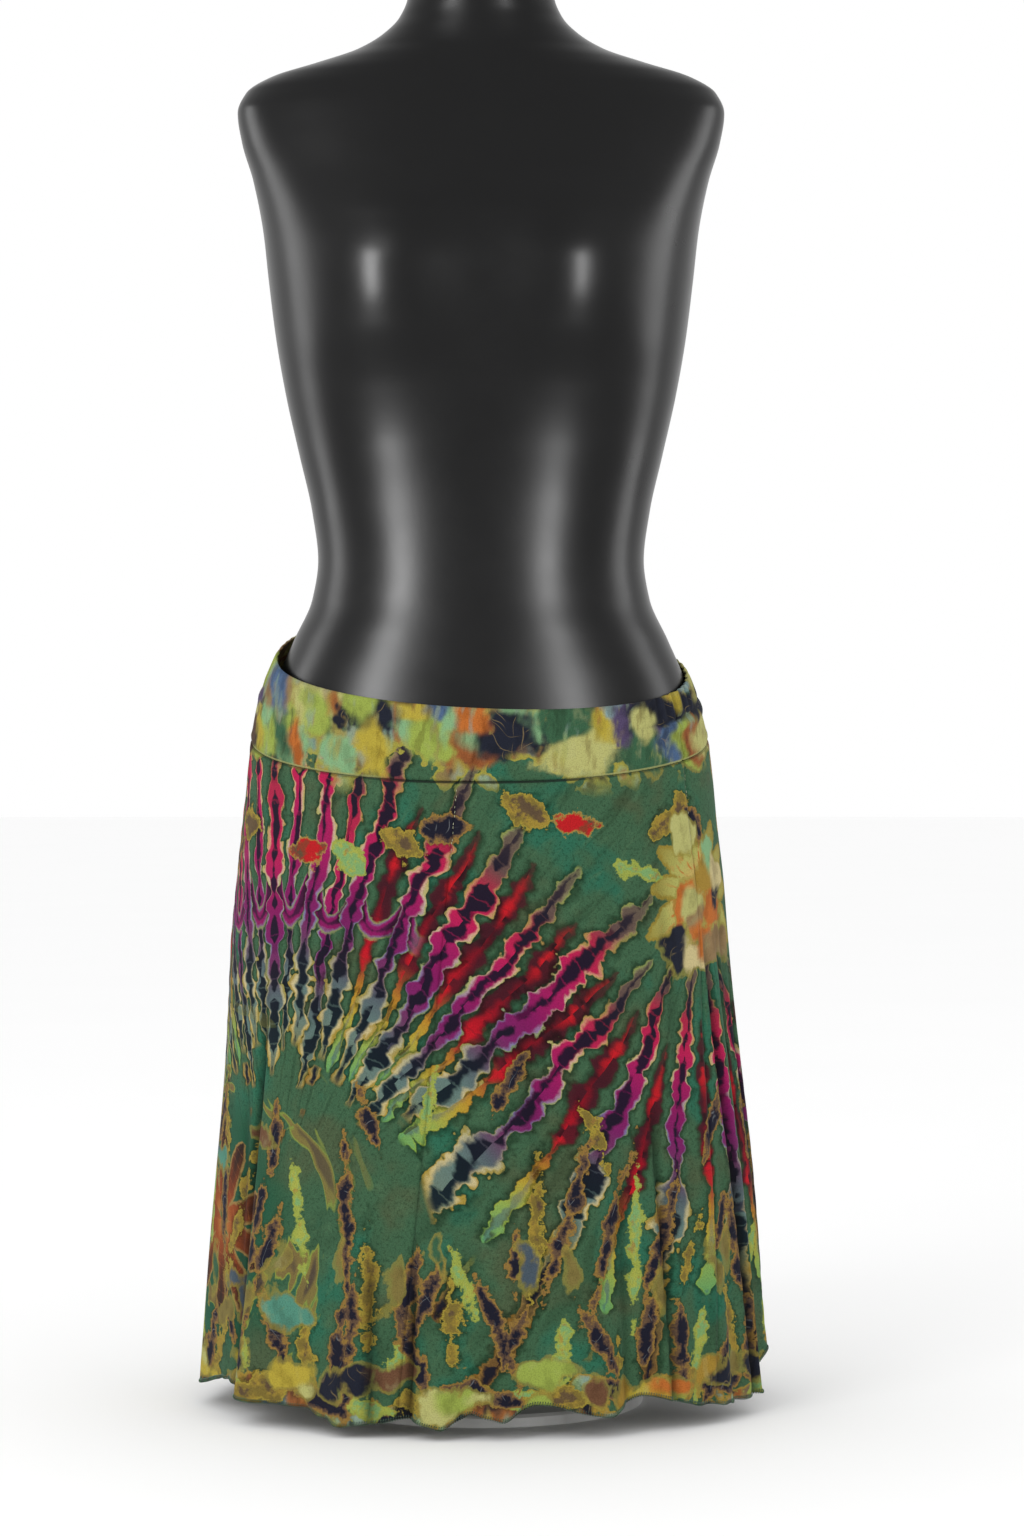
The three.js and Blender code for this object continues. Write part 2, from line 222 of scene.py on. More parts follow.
CREASES = (
    Crease(-26, 0.66, -24, 1.0, 1.2, -1.4),
    Crease(-16, 0.74, -17.5, 1.0, 1.0, -1.2),
    Crease(-38, 0.12, -48, 0.55, 2.6, -0.9),
    Crease(12, 0.3, 16, 0.8, 2.4, -0.8),
    Crease(36, 0.55, 35, 1.0, 1.1, -1.8),
    Crease(54, 0.04, 53, 0.6, 1.6, -1.1),
    Crease(64, 0.02, 66, 0.5, 1.4, 1.2),
    Crease(76, 0.05, 78, 0.7, 1.5, -1.6),
    Crease(66, 0.18, 71, 1.0, 0.9, -6.0),
    Crease(73, 0.22, 77.5, 1.0, 0.9, -7.5),
    Crease(80, 0.3, 84.5, 1.0, 1.1, -8.0),
    Crease(45, 0.45, 46, 1.0, 0.8, -3.6),
    Crease(-60, 0.3, -63, 1.0, 0.9, -5.5),
    Crease(-16, 0.72, -16.5, 1.0, 0.8, -3.4),
    Crease(-27, 0.7, -25.5, 1.0, 0.8, -3.4),
    Crease(-66, 0.45, -64, 1.0, 1.5, -2.0),
    Crease(-74, 0.05, -72, 0.4, 2.2, 0.9),
    Crease(96, 0.02, 95, 0.5, 2.0, -1.2),
    Crease(118, 0.1, 114, 0.7, 2.2, -1.2),
    Crease(134, 0.0, 134, 0.45, 2.0, 1.0),
    Crease(152, 0.2, 153, 0.9, 1.6, -1.5),
    Crease(172, 0.3, 172, 1.0, 1.4, -1.3),
    Crease(-166, 0.05, -170, 0.5, 2.2, 1.0),
    Crease(-148, 0.35, -149, 1.0, 1.4, -1.6),
    Crease(-126, 0.1, -130, 0.6, 1.8, -1.2),
    Crease(-108, 0.4, -111, 1.0, 1.4, -1.4),
)


# ------------------------------------------------------------------ shapes as functions of arrays


def smooth_curve(x: np.ndarray, known: Sequence[float], values: Sequence[float]) -> np.ndarray:
    """A smooth curve through known points that never overshoots them: each piece is the cubic whose
    end slopes are the harmonic mean of the slopes on both sides, or zero at a peak.

    Args:
        x: Where the curve is wanted.
        known: The known places, rising.
        values: The value at each known place.

    Returns:
        The curve's value at each x.
    """
    xs, ys = np.asarray(known, float), np.asarray(values, float)
    steps = np.diff(ys) / np.diff(xs)
    before, after = np.append(steps[:1], steps), np.append(steps, steps[-1:])
    same = before * after > 0
    slopes = np.where(same, 2 * before * after / np.where(same, before + after, 1.0), 0.0)
    i = np.clip(np.searchsorted(xs, x, side="right") - 1, 0, len(xs) - 2)
    width = xs[i + 1] - xs[i]
    t = np.clip((x - xs[i]) / width, 0, 1)
    rise = t * t * (3 - 2 * t)
    curl = t * (1 - t) * width
    return ys[i] * (1 - rise) + ys[i + 1] * rise + curl * ((1 - t) * slopes[i] - t * slopes[i + 1])


def smooth_step(x: np.ndarray, low: float, high: float) -> np.ndarray:
    """A soft step from 0 at low to 1 at high: 3t squared less 2t cubed."""
    t = np.clip((x - low) / (high - low), 0, 1)
    return t * t * (3 - 2 * t)


def wrap_angle(angle: np.ndarray) -> np.ndarray:
    """The angle brought to between -180 and 180 degrees."""
    return angle - 360 * np.round(angle / 360)


def oval_radius(angle: np.ndarray, half: np.ndarray, depth: np.ndarray, power: np.ndarray) -> np.ndarray:
    """Distance from the axis to a closed curve: (|sin|/half)^power + (|cos|/depth)^power, to -1/power.

    Args:
        angle: Degrees round the skirt.
        half: Half the width.
        depth: Half the depth.
        power: The oval's power.

    Returns:
        The distance at each angle.
    """
    turn = np.radians(angle)
    across = np.abs(np.sin(turn)) / half
    along = np.abs(np.cos(turn)) / depth
    return (across**power + along**power) ** (-1 / power)


def polar_points(radius: np.ndarray, angle: np.ndarray, height: np.ndarray) -> np.ndarray:
    """Points at a radius and angle round the axis, at a height."""
    turn = np.radians(angle)
    return np.stack(np.broadcast_arrays(radius * np.sin(turn), -radius * np.cos(turn), height), axis=-1)


def hem_height(angle: np.ndarray) -> np.ndarray:
    """The height of the hem at each angle, from its table closed on itself."""
    known = [row.angle for row in HEM] + [HEM[0].angle + 360]
    return smooth_curve(wrap_angle(angle), known, [row.height for row in HEM] + [HEM[0].height])


@dataclass(frozen=True)
class DrapedCloth:
    """The worn cloth's outside as a function of the angle round it and the way down or up it."""

    power: float = CLOTH_POWER
    inward: float = FLUTE_INWARD_SHARE
    ruffle_out: float = 1.3
    ruffle_down: float = 0.8
    ruffle_reach: float = 7.0
    ruffle_waves: int = 54

    def radius(self, angle: np.ndarray, height: np.ndarray) -> np.ndarray:
        """Distance from the axis to the plain cloth, from the section table.

        Args:
            angle: Degrees round the skirt.
            height: Millimetres above the floor.

        Returns:
            The distance at each point.
        """
        known = [row.height for row in CLOTH_SECTIONS]
        curves = [smooth_curve(height, known, column) for column in list(zip(*CLOTH_SECTIONS))[1:]]
        turn = np.radians(angle)
        half = np.where(np.sin(turn) < 0, curves[0], curves[1])
        depth = np.where(np.cos(turn) < 0, curves[3], curves[2])
        return oval_radius(angle, half, depth, self.power)

    def tilted_edge(self, angle: np.ndarray, height: float, rise: float, drop: float) -> np.ndarray:
        """The height of an edge that lies in a tilted plane.

        Args:
            angle: Degrees round the skirt.
            height: The edge's height at the front.
            rise: How much it rises for each millimetre towards the back.
            drop: How much it drops for each millimetre towards +X.

        Returns:
            The height at each angle, with the place taken on the cloth at the front's height.
        """
        turn = np.radians(angle)
        radius = self.radius(angle, np.full_like(turn, height))
        front = self.radius(np.zeros(1), np.full(1, height))[0]
        return height + rise * (front - radius * np.cos(turn)) - drop * radius * np.sin(turn)

    def yoke_seam(self, angle: np.ndarray) -> np.ndarray:
        """The height of the seam between yoke and gores at each angle."""
        return self.tilted_edge(angle, YOKE_SEAM_HEIGHT, YOKE_SEAM_RISE, 0.0)

    def waist_edge(self, angle: np.ndarray) -> np.ndarray:
        """The height of the waist edge at each angle."""
        return self.tilted_edge(angle, WAIST_HEIGHT, WAIST_RISE, WAIST_DROP)

    def flutes(self, angle: np.ndarray, down: np.ndarray) -> tuple[np.ndarray, np.ndarray]:
        """How far the flutes move the cloth out and aside: a bell curve round each ridge, with its own
        width on each flank, times how far the flute has grown on its way down.

        Args:
            angle: Degrees round the skirt.
            down: Share of the way from the yoke seam to the hem.

        Returns:
            The shift outwards and the shift sideways, in millimetres.
        """
        out = -self.inward * down**2
        aside = np.zeros_like(out)
        for flute in FLUTES:
            grown = np.clip((down - flute.starts) / (1 - flute.starts), 0, 1) ** 1.3
            away = wrap_angle(angle - (flute.seam + (flute.hem - flute.seam) * down))
            ridge = grown * np.exp(-((away / np.where(away < 0, flute.minus, flute.plus)) ** 2))
            out = out + flute.out * ridge
            aside = aside + flute.lean * ridge
        return out, aside

    def creases(self, angle: np.ndarray, down: np.ndarray) -> np.ndarray:
        """How far the soft creases move the cloth out: a bell curve across each crease's line, faded
        in and out along it.

        Args:
            angle: Degrees round the skirt.
            down: Share of the way down from the seam.

        Returns:
            The shift outwards, in millimetres.
        """
        out = np.zeros_like(down * angle)
        for crease in CREASES:
            along = (down - crease.top) / (crease.low - crease.top)
            line = crease.top_angle + (crease.low_angle - crease.top_angle) * np.clip(along, 0, 1)
            fade_out = 1.0 if crease.low >= 1 else 1 - smooth_step(along, 0.6, 1)
            faded = smooth_step(along, 0, 0.4) * fade_out
            out += crease.depth * faded * np.exp(-((wrap_angle(angle - line) / crease.width) ** 2))
        return out

    def ruffle(self, angle: np.ndarray, above_hem: np.ndarray) -> tuple[np.ndarray, np.ndarray]:
        """The small uneven wave that the overlocking leaves in the last few millimetres of the hem.

        Args:
            angle: Degrees round the skirt.
            above_hem: Millimetres above the hem.

        Returns:
            The shift outwards and the shift in height, in millimetres.
        """
        turn = np.radians(angle)
        phase = self.ruffle_waves * turn + 2.2 * np.sin(5 * turn) + 1.7 * np.sin(11 * turn + 1)
        strength = 0.55 + 0.45 * np.sin(7 * turn + 2) * np.sin(3 * turn)
        near = strength * np.exp(-above_hem / self.ruffle_reach)
        return self.ruffle_out * near * np.sin(phase), self.ruffle_down * near * np.cos(phase + 0.8)

    def skirt(self, angle: np.ndarray, down: np.ndarray, extra: np.ndarray | float = 0.0) -> np.ndarray:
        """Points of the skirt below the yoke.

        Args:
            angle: Degrees round the skirt.
            down: Share of the way from the yoke seam to the hem.
            extra: A further shift outwards, in millimetres.

        Returns:
            The points, with the plain cloth's radius moved out by flutes, creases and ruffle.
        """
        top, low = self.yoke_seam(angle) - SEAM_GAP / 2, hem_height(angle)
        above_hem = (top - low) * (1 - down)
        ruffle_out, ruffle_up = self.ruffle(angle, above_hem)
        height = low + above_hem + ruffle_up
        radius = self.radius(angle, height)
        out, aside = self.flutes(angle, down)
        out = out + self.creases(angle, down) + ruffle_out + extra
        return polar_points(radius + out, angle + np.degrees(aside / radius), height)

    def yoke(self, angle: np.ndarray, up: np.ndarray, extra: np.ndarray | float = 0.0) -> np.ndarray:
        """Points of the yoke, at a share of the way up from its seam to the waist edge, moved outwards
        by extra millimetres."""
        low, top = self.yoke_seam(angle) + SEAM_GAP / 2, self.waist_edge(angle)
        height = low + (top - low) * up
        return polar_points(self.radius(angle, height) + extra, angle, height)

    def run(self, angle: np.ndarray, height: np.ndarray) -> np.ndarray:
        """Millimetres of cloth from the front's middle line to each point, measured level round the
        plain cloth: the summed lengths of short chords, read off a table of angles and heights.

        Args:
            angle: Degrees round the skirt.
            height: Millimetres above the floor.

        Returns:
            The run at each point.
        """
        angles = np.linspace(-270, 270, 1081)
        heights = np.linspace(0, 560, 57)
        radii = self.radius(angles[None, :], heights[:, None])
        chords = polar_points(radii, angles[None, :], heights[:, None])
        steps = np.linalg.norm(np.diff(chords, axis=1), axis=2)
        runs = np.concatenate([np.zeros((len(heights), 1)), np.cumsum(steps, axis=1)], axis=1)
        runs -= runs[:, [len(angles) // 2]]
        column = np.clip((angle - angles[0]) / (angles[1] - angles[0]), 0, len(angles) - 1.001)
        row = np.clip((height - heights[0]) / (heights[1] - heights[0]), 0, len(heights) - 1.001)
        c, r = column.astype(int), row.astype(int)
        fc, fr = column - c, row - r
        near = runs[r, c] * (1 - fc) + runs[r, c + 1] * fc
        far = runs[r + 1, c] * (1 - fc) + runs[r + 1, c + 1] * fc
        return near * (1 - fr) + far * fr


# ------------------------------------------------------------------ meshes


def grid_faces(rows: int, columns: int, closed: bool = False) -> np.ndarray:
    """The four-sided faces of a grid of rows by columns points, wrapped round if it is closed.

    Args:
        rows: Points one way.
        columns: Points the other way.
        closed: Whether the columns close.

    Returns:
        Four point numbers a face.
    """
    across = np.arange(columns if closed else columns - 1)
    r, c = np.meshgrid(np.arange(rows - 1), across, indexing="ij")
    ahead = (c + 1) % columns
    corners = [r * columns + c, r * columns + ahead, (r + 1) * columns + ahead, (r + 1) * columns + c]
    return np.stack(corners, axis=-1).reshape(-1, 4)


def make_piece(
    name: str, points: np.ndarray, faces: Sequence[Sequence[int]] | np.ndarray
) -> bpy.types.Object:
    """A smooth-shaded object from points in millimetres and their faces.

    Args:
        name: The piece's name.
        points: Any array of points whose last axis is x, y, z.
        faces: Rows of point numbers.

    Returns:
        The object, at the origin.
    """
    mesh = bpy.data.meshes.new(name)
    rows = faces.tolist() if isinstance(faces, np.ndarray) else faces
    mesh.from_pydata((points.reshape(-1, 3) * MM).tolist(), [], rows)
    mesh.polygons.foreach_set("use_smooth", np.ones(len(mesh.polygons), dtype=bool))
    mesh.update()
    piece = bpy.data.objects.new(name, mesh)
    bpy.context.collection.objects.link(piece)
    return piece


def tube_along(path: np.ndarray, width: float, sides: int, closed: bool) -> tuple[np.ndarray, np.ndarray]:
    """A round tube along a path: a ring of points square to the path's direction at each point.

    Args:
        path: The centre points, in millimetres.
        width: The tube's radius.
        sides: The ring's number of points.
        closed: Whether the path joins itself.

    Returns:
        The points and the four-sided faces.
    """
    ahead = np.roll(path, -1, axis=0) - np.roll(path, 1, axis=0)
    if not closed:
        ahead[0], ahead[-1] = path[1] - path[0], path[-1] - path[-2]
    ahead /= np.linalg.norm(ahead, axis=1, keepdims=True)
    helper = np.where(np.abs(ahead[:, 2:3]) > 0.9, [[1.0, 0.0, 0.0]], [[0.0, 0.0, 1.0]])
    first = np.cross(helper, ahead)
    first /= np.linalg.norm(first, axis=1, keepdims=True)
    second = np.cross(ahead, first)
    turn = np.linspace(0, 2 * np.pi, sides, endpoint=False)
    ring = first[:, None, :] * np.cos(turn)[:, None] + second[:, None, :] * np.sin(turn)[:, None]
    points = path[:, None, :] + width * ring
    faces = grid_faces(len(path), sides, closed=True)
    if closed:
        last = (len(path) - 1) * sides
        side = np.arange(sides)
        nxt = (side + 1) % sides
        faces = np.concatenate([faces, np.stack([last + side, last + nxt, nxt, side], axis=-1)])
    return points, faces


# ------------------------------------------------------------------ material nodes


def dye(red: int, green: int, blue: int) -> tuple[float, float, float, float]:
    """A colour from its screen values of 0 to 255, made linear for the shader and toned for the lights."""
    parts = [v / 255 for v in (red, green, blue)]
    linear = [v / 12.92 if v <= 0.04045 else ((v + 0.055) / 1.055) ** 2.4 for v in parts]
    return (*(v * STUDIO_TONE for v in linear), 1.0)


Colour = tuple[float, float, float, float]


class Field:
    """A number or colour that varies over a surface: one output of a material's nodes."""

    def __init__(self, book: "ShaderBook", socket: bpy.types.NodeSocket) -> None:
        """Keeps the book that makes nodes and the output socket."""
        self.book = book
        self.socket = socket

    def __add__(self, other: "Field | float") -> "Field":
        """The sum."""
        return self.book.math("ADD", self, other)

    def __radd__(self, other: float) -> "Field":
        """The sum, from the right."""
        return self.book.math("ADD", other, self)

    def __sub__(self, other: "Field | float") -> "Field":
        """The difference."""
        return self.book.math("SUBTRACT", self, other)

    def __rsub__(self, other: float) -> "Field":
        """The difference, from the right."""
        return self.book.math("SUBTRACT", other, self)

    def __mul__(self, other: "Field | float") -> "Field":
        """The product."""
        return self.book.math("MULTIPLY", self, other)

    def __rmul__(self, other: float) -> "Field":
        """The product, from the right."""
        return self.book.math("MULTIPLY", other, self)

    def __truediv__(self, other: "Field | float") -> "Field":
        """The quotient."""
        return self.book.math("DIVIDE", self, other)


class ShaderBook:
    """Writes one material's nodes, as sums of fields and mixes of colours."""

    def __init__(self, name: str) -> None:
        """Starts a material with only a Principled shader and its output.

        Args:
            name: The material's name.
        """
        self.material = bpy.data.materials.new(name)
        self.material.use_nodes = True
        self.tree = self.material.node_tree
        self.shader = next(n for n in self.tree.nodes if n.type == "BSDF_PRINCIPLED")

    def node(
        self, kind: str, inputs: dict[str | int, "Field | float | Colour"], **settings: object
    ) -> bpy.types.Node:
        """A new node of a kind, with its settings made and its inputs set or linked.

        Args:
            kind: The node's type.
            inputs: Its inputs, by name or number.
            settings: Its settings.

        Returns:
            The node.
        """
        made = self.tree.nodes.new(kind)
        for name, value in settings.items():
            setattr(made, name, value)
        for key, value in inputs.items():
            self.feed(made.inputs[key], value)
        return made

    def feed(self, socket: bpy.types.NodeSocket, value: "Field | float | Colour") -> None:
        """Links a field to an input, or sets the input's own value.

        Args:
            socket: The input.
            value: A field, number or colour.
        """
        if isinstance(value, Field):
            self.tree.links.new(value.socket, socket)
        else:
            socket.default_value = value

    def math(self, operation: str, *values: "Field | float", clamp: bool = False) -> Field:
        """A Math node's result."""
        made = self.node("ShaderNodeMath", dict(enumerate(values)), operation=operation, use_clamp=clamp)
        return Field(self, made.outputs[0])

    def absolute(self, value: Field) -> Field:
        """The value without its sign."""
        return self.math("ABSOLUTE", value)

    def where(self, test: Field, yes: "Field | float", no: "Field | float") -> Field:
        """One value where the test is 1 and the other where it is 0."""
        made = self.node("ShaderNodeMix", {0: test, 2: no, 3: yes}, data_type="FLOAT")
        return Field(self, made.outputs[0])

    def rise(self, value: "Field | float", low: "Field | float", high: "Field | float") -> Field:
        """A soft step from 0 at low to 1 at high.

        Args:
            value: The number that is read.
            low: Where it is 0.
            high: Where it is 1.

        Returns:
            The step.
        """
        made = self.node(
            "ShaderNodeMapRange",
            {"Value": value, "From Min": low, "From Max": high},
            interpolation_type="SMOOTHSTEP",
        )
        return Field(self, made.outputs["Result"])

    def attribute(self, name: str) -> bpy.types.Node:
        """The node that reads one of the mesh's own attributes."""
        return self.node("ShaderNodeAttribute", {}, attribute_name=name, attribute_type="GEOMETRY")

    def vector(self, x: "Field | float", y: "Field | float", z: "Field | float" = 0.0) -> Field:
        """Three numbers as one vector."""
        made = self.node("ShaderNodeCombineXYZ", {"X": x, "Y": y, "Z": z})
        return Field(self, made.outputs[0])

    def parts(self, vector: Field) -> tuple[Field, Field, Field]:
        """A vector's or colour's three numbers."""
        made = self.node("ShaderNodeSeparateXYZ", {0: vector})
        return tuple(Field(self, out) for out in made.outputs)

    def noise(
        self, place: Field, size: float, detail: float = 2.0, rough: float = 0.5, colour: bool = False,
        solid: bool = False
    ) -> Field:
        """Smooth noise whose blobs are about size across: one number, or three as a colour. It reads
        two of the place's numbers, or all three where it is solid."""
        settings = {"Vector": place, "Scale": 1 / size, "Detail": detail, "Roughness": rough}
        made = self.node("ShaderNodeTexNoise", settings, noise_dimensions="3D" if solid else "2D")
        return Field(self, made.outputs["Color" if colour else "Fac"])

    def lot(self, number: Field) -> tuple[Field, Field, Field]:
        """Three even random numbers from 0 to 1, the same wherever the number is the same."""
        made = self.node("ShaderNodeTexWhiteNoise", {"W": number}, noise_dimensions="1D")
        return self.parts(Field(self, made.outputs["Color"]))

    def ramp(self, value: Field, stops: Sequence[tuple[float, Colour]]) -> Field:
        """A colour that changes along a value, through stops of value and colour that rise.

        Args:
            value: The number that is read.
            stops: Pairs of value and what it gives, rising.

        Returns:
            The colour.
        """
        low, high = stops[0][0], stops[-1][0]
        share = (value - low) * (1 / (high - low))
        made = self.node("ShaderNodeValToRGB", {"Fac": share})
        elements = made.color_ramp.elements
        while len(elements) < len(stops):
            elements.new(0.5)
        for element, (at, _) in zip(elements, stops):
            element.position = (at - low) / (high - low)
        for element, (_, colour) in zip(elements, stops):
            element.color = colour
        return Field(self, made.outputs["Color"])

    def level(self, value: Field, stops: Sequence[tuple[float, float]]) -> Field:
        """A number that changes along a value, through stops of value and number that rise."""
        top = max(number for _, number in stops)
        greys = [(at, (number / top, number / top, number / top, 1.0)) for at, number in stops]
        return self.ramp(value, greys) * top

    def mix(self, base: "Field | Colour", over: "Field | Colour", amount: "Field | float") -> Field:
        """One colour laid over another by an amount."""
        made = self.node("ShaderNodeMix", {0: amount, 6: base, 7: over}, data_type="RGBA")
        return Field(self, made.outputs[2])

    def tint(self, base: "Field | Colour", by: "Field | Colour", amount: "Field | float") -> Field:
        """A colour multiplied by another by an amount."""
        settings = {"data_type": "RGBA", "blend_type": "MULTIPLY"}
        made = self.node("ShaderNodeMix", {0: amount, 6: base, 7: by}, **settings)
        return Field(self, made.outputs[2])

    def bump(self, height: Field, depth: float, after: Field | None = None) -> Field:
        """A normal bent by a height field whose full range is a depth in metres.

        Args:
            height: The height field.
            depth: Metres from its lowest to its highest.
            after: A normal to start from.

        Returns:
            The normal.
        """
        inputs: dict[str | int, Field | float | Colour] = {
            "Height": height,
            "Distance": depth,
            "Strength": 1.0,
        }
        if after is not None:
            inputs["Normal"] = after
        made = self.node("ShaderNodeBump", inputs)
        return Field(self, made.outputs["Normal"])

    def finish(self, **sockets: "Field | float | Colour") -> bpy.types.Material:
        """Sets the shader's own inputs, with each name's underscores read as spaces."""
        for name, value in sockets.items():
            self.feed(self.shader.inputs[name.replace("_", " ")], value)
        return self.material


# ------------------------------------------------------------------ the tie-dye


class StreakRow(NamedTuple):
    """A dyed streak at one distance outside the fold line: its half-width, its core's half-width, its
    pale rim's width, how soft its edge is, and the colours of the rim's outside and inside, the body
    and the core."""

    along: float
    half: float
    core: float
    rim: float
    soft: float
    rim_colour: Colour
    glow_colour: Colour
    body_colour: Colour
    core_colour: Colour


MAGENTA_STREAK = (
    StreakRow(-330, 1.6, 1.1, 1.8, 0.8,
        dye(134, 98, 40), dye(140, 104, 50), dye(108, 80, 42), dye(26, 24, 34)),
    StreakRow(-250, 2.6, 1.8, 2.2, 0.8,
        dye(142, 102, 40), dye(148, 112, 54), dye(112, 84, 44), dye(26, 24, 36)),
    StreakRow(-185, 3.2, 2.2, 2.4, 0.8,
        dye(150, 106, 42), dye(154, 118, 60), dye(116, 86, 46), dye(26, 26, 40)),
    StreakRow(-140, 3.4, 2.2, 2.4, 0.9,
        dye(160, 122, 48), dye(168, 142, 80), dye(110, 96, 60), dye(24, 28, 42)),
    StreakRow(-118, 3.2, 1.4, 2.6, 1.1,
        dye(164, 140, 58), dye(172, 158, 94), dye(122, 128, 92), dye(22, 36, 44)),
    StreakRow(-104, 6.0, 4.2, 3.8, 1.8,
        dye(176, 150, 62), dye(210, 190, 128), dye(112, 132, 118), dye(18, 36, 44)),
    StreakRow(-82, 8.4, 6.8, 4.6, 2.6,
        dye(176, 152, 72), dye(216, 200, 150), dye(104, 130, 124), dye(14, 28, 38)),
    StreakRow(-66, 7.4, 5.6, 3.4, 2.4,
        dye(166, 152, 80), dye(190, 184, 144), dye(90, 100, 108), dye(20, 26, 40)),
    StreakRow(-50, 4.4, 2.2, 2.0, 1.4,
        dye(146, 150, 90), dye(156, 140, 150), dye(112, 56, 98), dye(30, 20, 40)),
    StreakRow(-34, 7.8, 2.8, 1.6, 1.5,
        dye(124, 146, 104), dye(132, 124, 176), dye(130, 34, 104), dye(28, 18, 40)),
    StreakRow(-14, 7.2, 1.9, 2.0, 1.5,
        dye(156, 166, 108), dye(160, 128, 168), dye(142, 24, 98), dye(36, 14, 44)),
    StreakRow(8, 7.0, 2.2, 2.6, 1.2,
        dye(190, 186, 116), dye(212, 184, 160), dye(176, 28, 98), dye(42, 14, 46)),
    StreakRow(28, 7.0, 3.0, 2.4, 1.2,
        dye(190, 170, 100), dye(224, 160, 134), dye(200, 30, 86), dye(34, 18, 42)),
    StreakRow(50, 6.2, 3.2, 2.0, 1.1,
        dye(176, 140, 76), dye(202, 126, 96), dye(180, 42, 72), dye(32, 22, 42)),
    StreakRow(66, 5.0, 2.4, 1.8, 1.0,
        dye(150, 142, 78), dye(150, 120, 92), dye(104, 80, 76), dye(34, 28, 44)),
    StreakRow(86, 3.6, 1.0, 1.6, 1.0,
        dye(148, 160, 86), dye(138, 134, 96), dye(106, 92, 78), dye(54, 44, 52)),
    StreakRow(104, 0.0, 0.0, 1.0, 0.8,
        dye(136, 152, 84), dye(130, 138, 92), dye(112, 112, 80), dye(70, 66, 60)),
)
RED_STREAK = (
    StreakRow(-330, 0.8, 0.4, 1.0, 0.8,
        dye(134, 98, 40), dye(134, 98, 46), dye(104, 80, 42), dye(32, 26, 30)),
    StreakRow(-230, 2.2, 1.4, 1.8, 0.8,
        dye(144, 102, 42), dye(146, 108, 50), dye(110, 82, 42), dye(26, 24, 36)),
    StreakRow(-176, 2.4, 1.4, 1.8, 0.8,
        dye(148, 106, 42), dye(150, 112, 54), dye(114, 84, 44), dye(26, 24, 38)),
    StreakRow(-140, 0.4, 0.1, 0.8, 0.8,
        dye(132, 132, 56), dye(114, 132, 74), dye(98, 120, 68), dye(60, 70, 50)),
    StreakRow(-128, 0.0, 0.0, 0.6, 0.9,
        dye(110, 156, 78), dye(104, 160, 90), dye(96, 162, 102), dye(88, 142, 112)),
    StreakRow(-118, 5.0, 1.0, 0.8, 0.9,
        dye(140, 178, 70), dye(136, 178, 84), dye(122, 172, 98), dye(92, 132, 110)),
    StreakRow(-100, 4.2, 1.1, 0.8, 0.9,
        dye(170, 178, 60), dye(168, 184, 78), dye(152, 178, 84), dye(118, 140, 102)),
    StreakRow(-80, 3.2, 0.6, 0.6, 0.9,
        dye(192, 154, 42), dye(194, 162, 56), dye(190, 166, 58), dye(160, 146, 86)),
    StreakRow(-66, 2.4, 0.2, 0.5, 1.0,
        dye(190, 136, 38), dye(194, 142, 48), dye(192, 138, 44), dye(168, 112, 56)),
    StreakRow(-54, 1.6, 0.2, 0.4, 1.4,
        dye(166, 90, 42), dye(166, 86, 48), dye(158, 78, 44), dye(186, 40, 40)),
    StreakRow(-42, 6.2, 2.8, 0.2, 3.2,
        dye(80, 50, 46), dye(88, 36, 42), dye(102, 20, 34), dye(206, 22, 38)),
    StreakRow(-20, 6.4, 1.3, 0.2, 4.2,
        dye(70, 54, 46), dye(74, 38, 42), dye(80, 20, 34), dye(148, 14, 34)),
    StreakRow(4, 6.0, 0.5, 0.2, 4.2,
        dye(70, 54, 46), dye(72, 38, 42), dye(70, 22, 34), dye(110, 16, 32)),
    StreakRow(20, 6.4, 2.3, 0.2, 3.8,
        dye(76, 54, 46), dye(76, 38, 42), dye(80, 22, 34), dye(212, 26, 38)),
    StreakRow(40, 4.2, 0.9, 0.2, 3.2,
        dye(78, 58, 46), dye(76, 46, 42), dye(72, 32, 36), dye(170, 34, 38)),
    StreakRow(60, 0.2, 0.0, 0.3, 2.4,
        dye(76, 70, 50), dye(74, 64, 46), dye(68, 60, 46), dye(90, 50, 40)),
    StreakRow(104, 0.0, 0.0, 0.4, 2.0,
        dye(76, 84, 58), dye(76, 84, 58), dye(68, 84, 58), dye(70, 84, 58)),
)
# Angle round a pivot, the pleat number there, and how far apart the pleats stand in millimetres.
LOW_PLEATS = (
    (36.9, 6.5, 6.0),
    (63.0, 3.3, 8.2),
    (90.0, 0.0, 12.4),
    (180.0, -11.0, 12.4),
)
HIGH_PLEATS = (
    (36.9, 6.5, 12.0),
    (63.0, 8.0, 18.0),
    (90.0, 9.5, 21.0),
    (180.0, 14.5, 21.0),
)


# Half the round at the hem, and the seeds of the strewn patches and washes.
HALF_ROUND = 570.0
PATCH_SEED = 5
WASH_SEED = 11


class Patch(Enum):
    """The kinds of dyed patch that stand on the ground colour."""

    GOLD = 0
    RED = 1
    DARK = 2
    PALE = 3


class PatchRow(NamedTuple):
    """One leaf-shaped patch: its kind, its middle as cloth run and height, half its length and width,
    and how far its length is turned from level."""

    kind: Patch
    run: float
    height: float
    length: float
    width: float
    turn: float


class PatchBand(NamedTuple):
    """Patches strewn in one band round the cloth: their kinds in turn, the lowest and highest place of
    their middles, how far apart they come, and their ranges of half length, half width and turn."""

    kinds: tuple[Patch, ...]
    heights: tuple[float, float]
    every: float
    lengths: tuple[float, float]
    widths: tuple[float, float]
    turns: tuple[float, float]


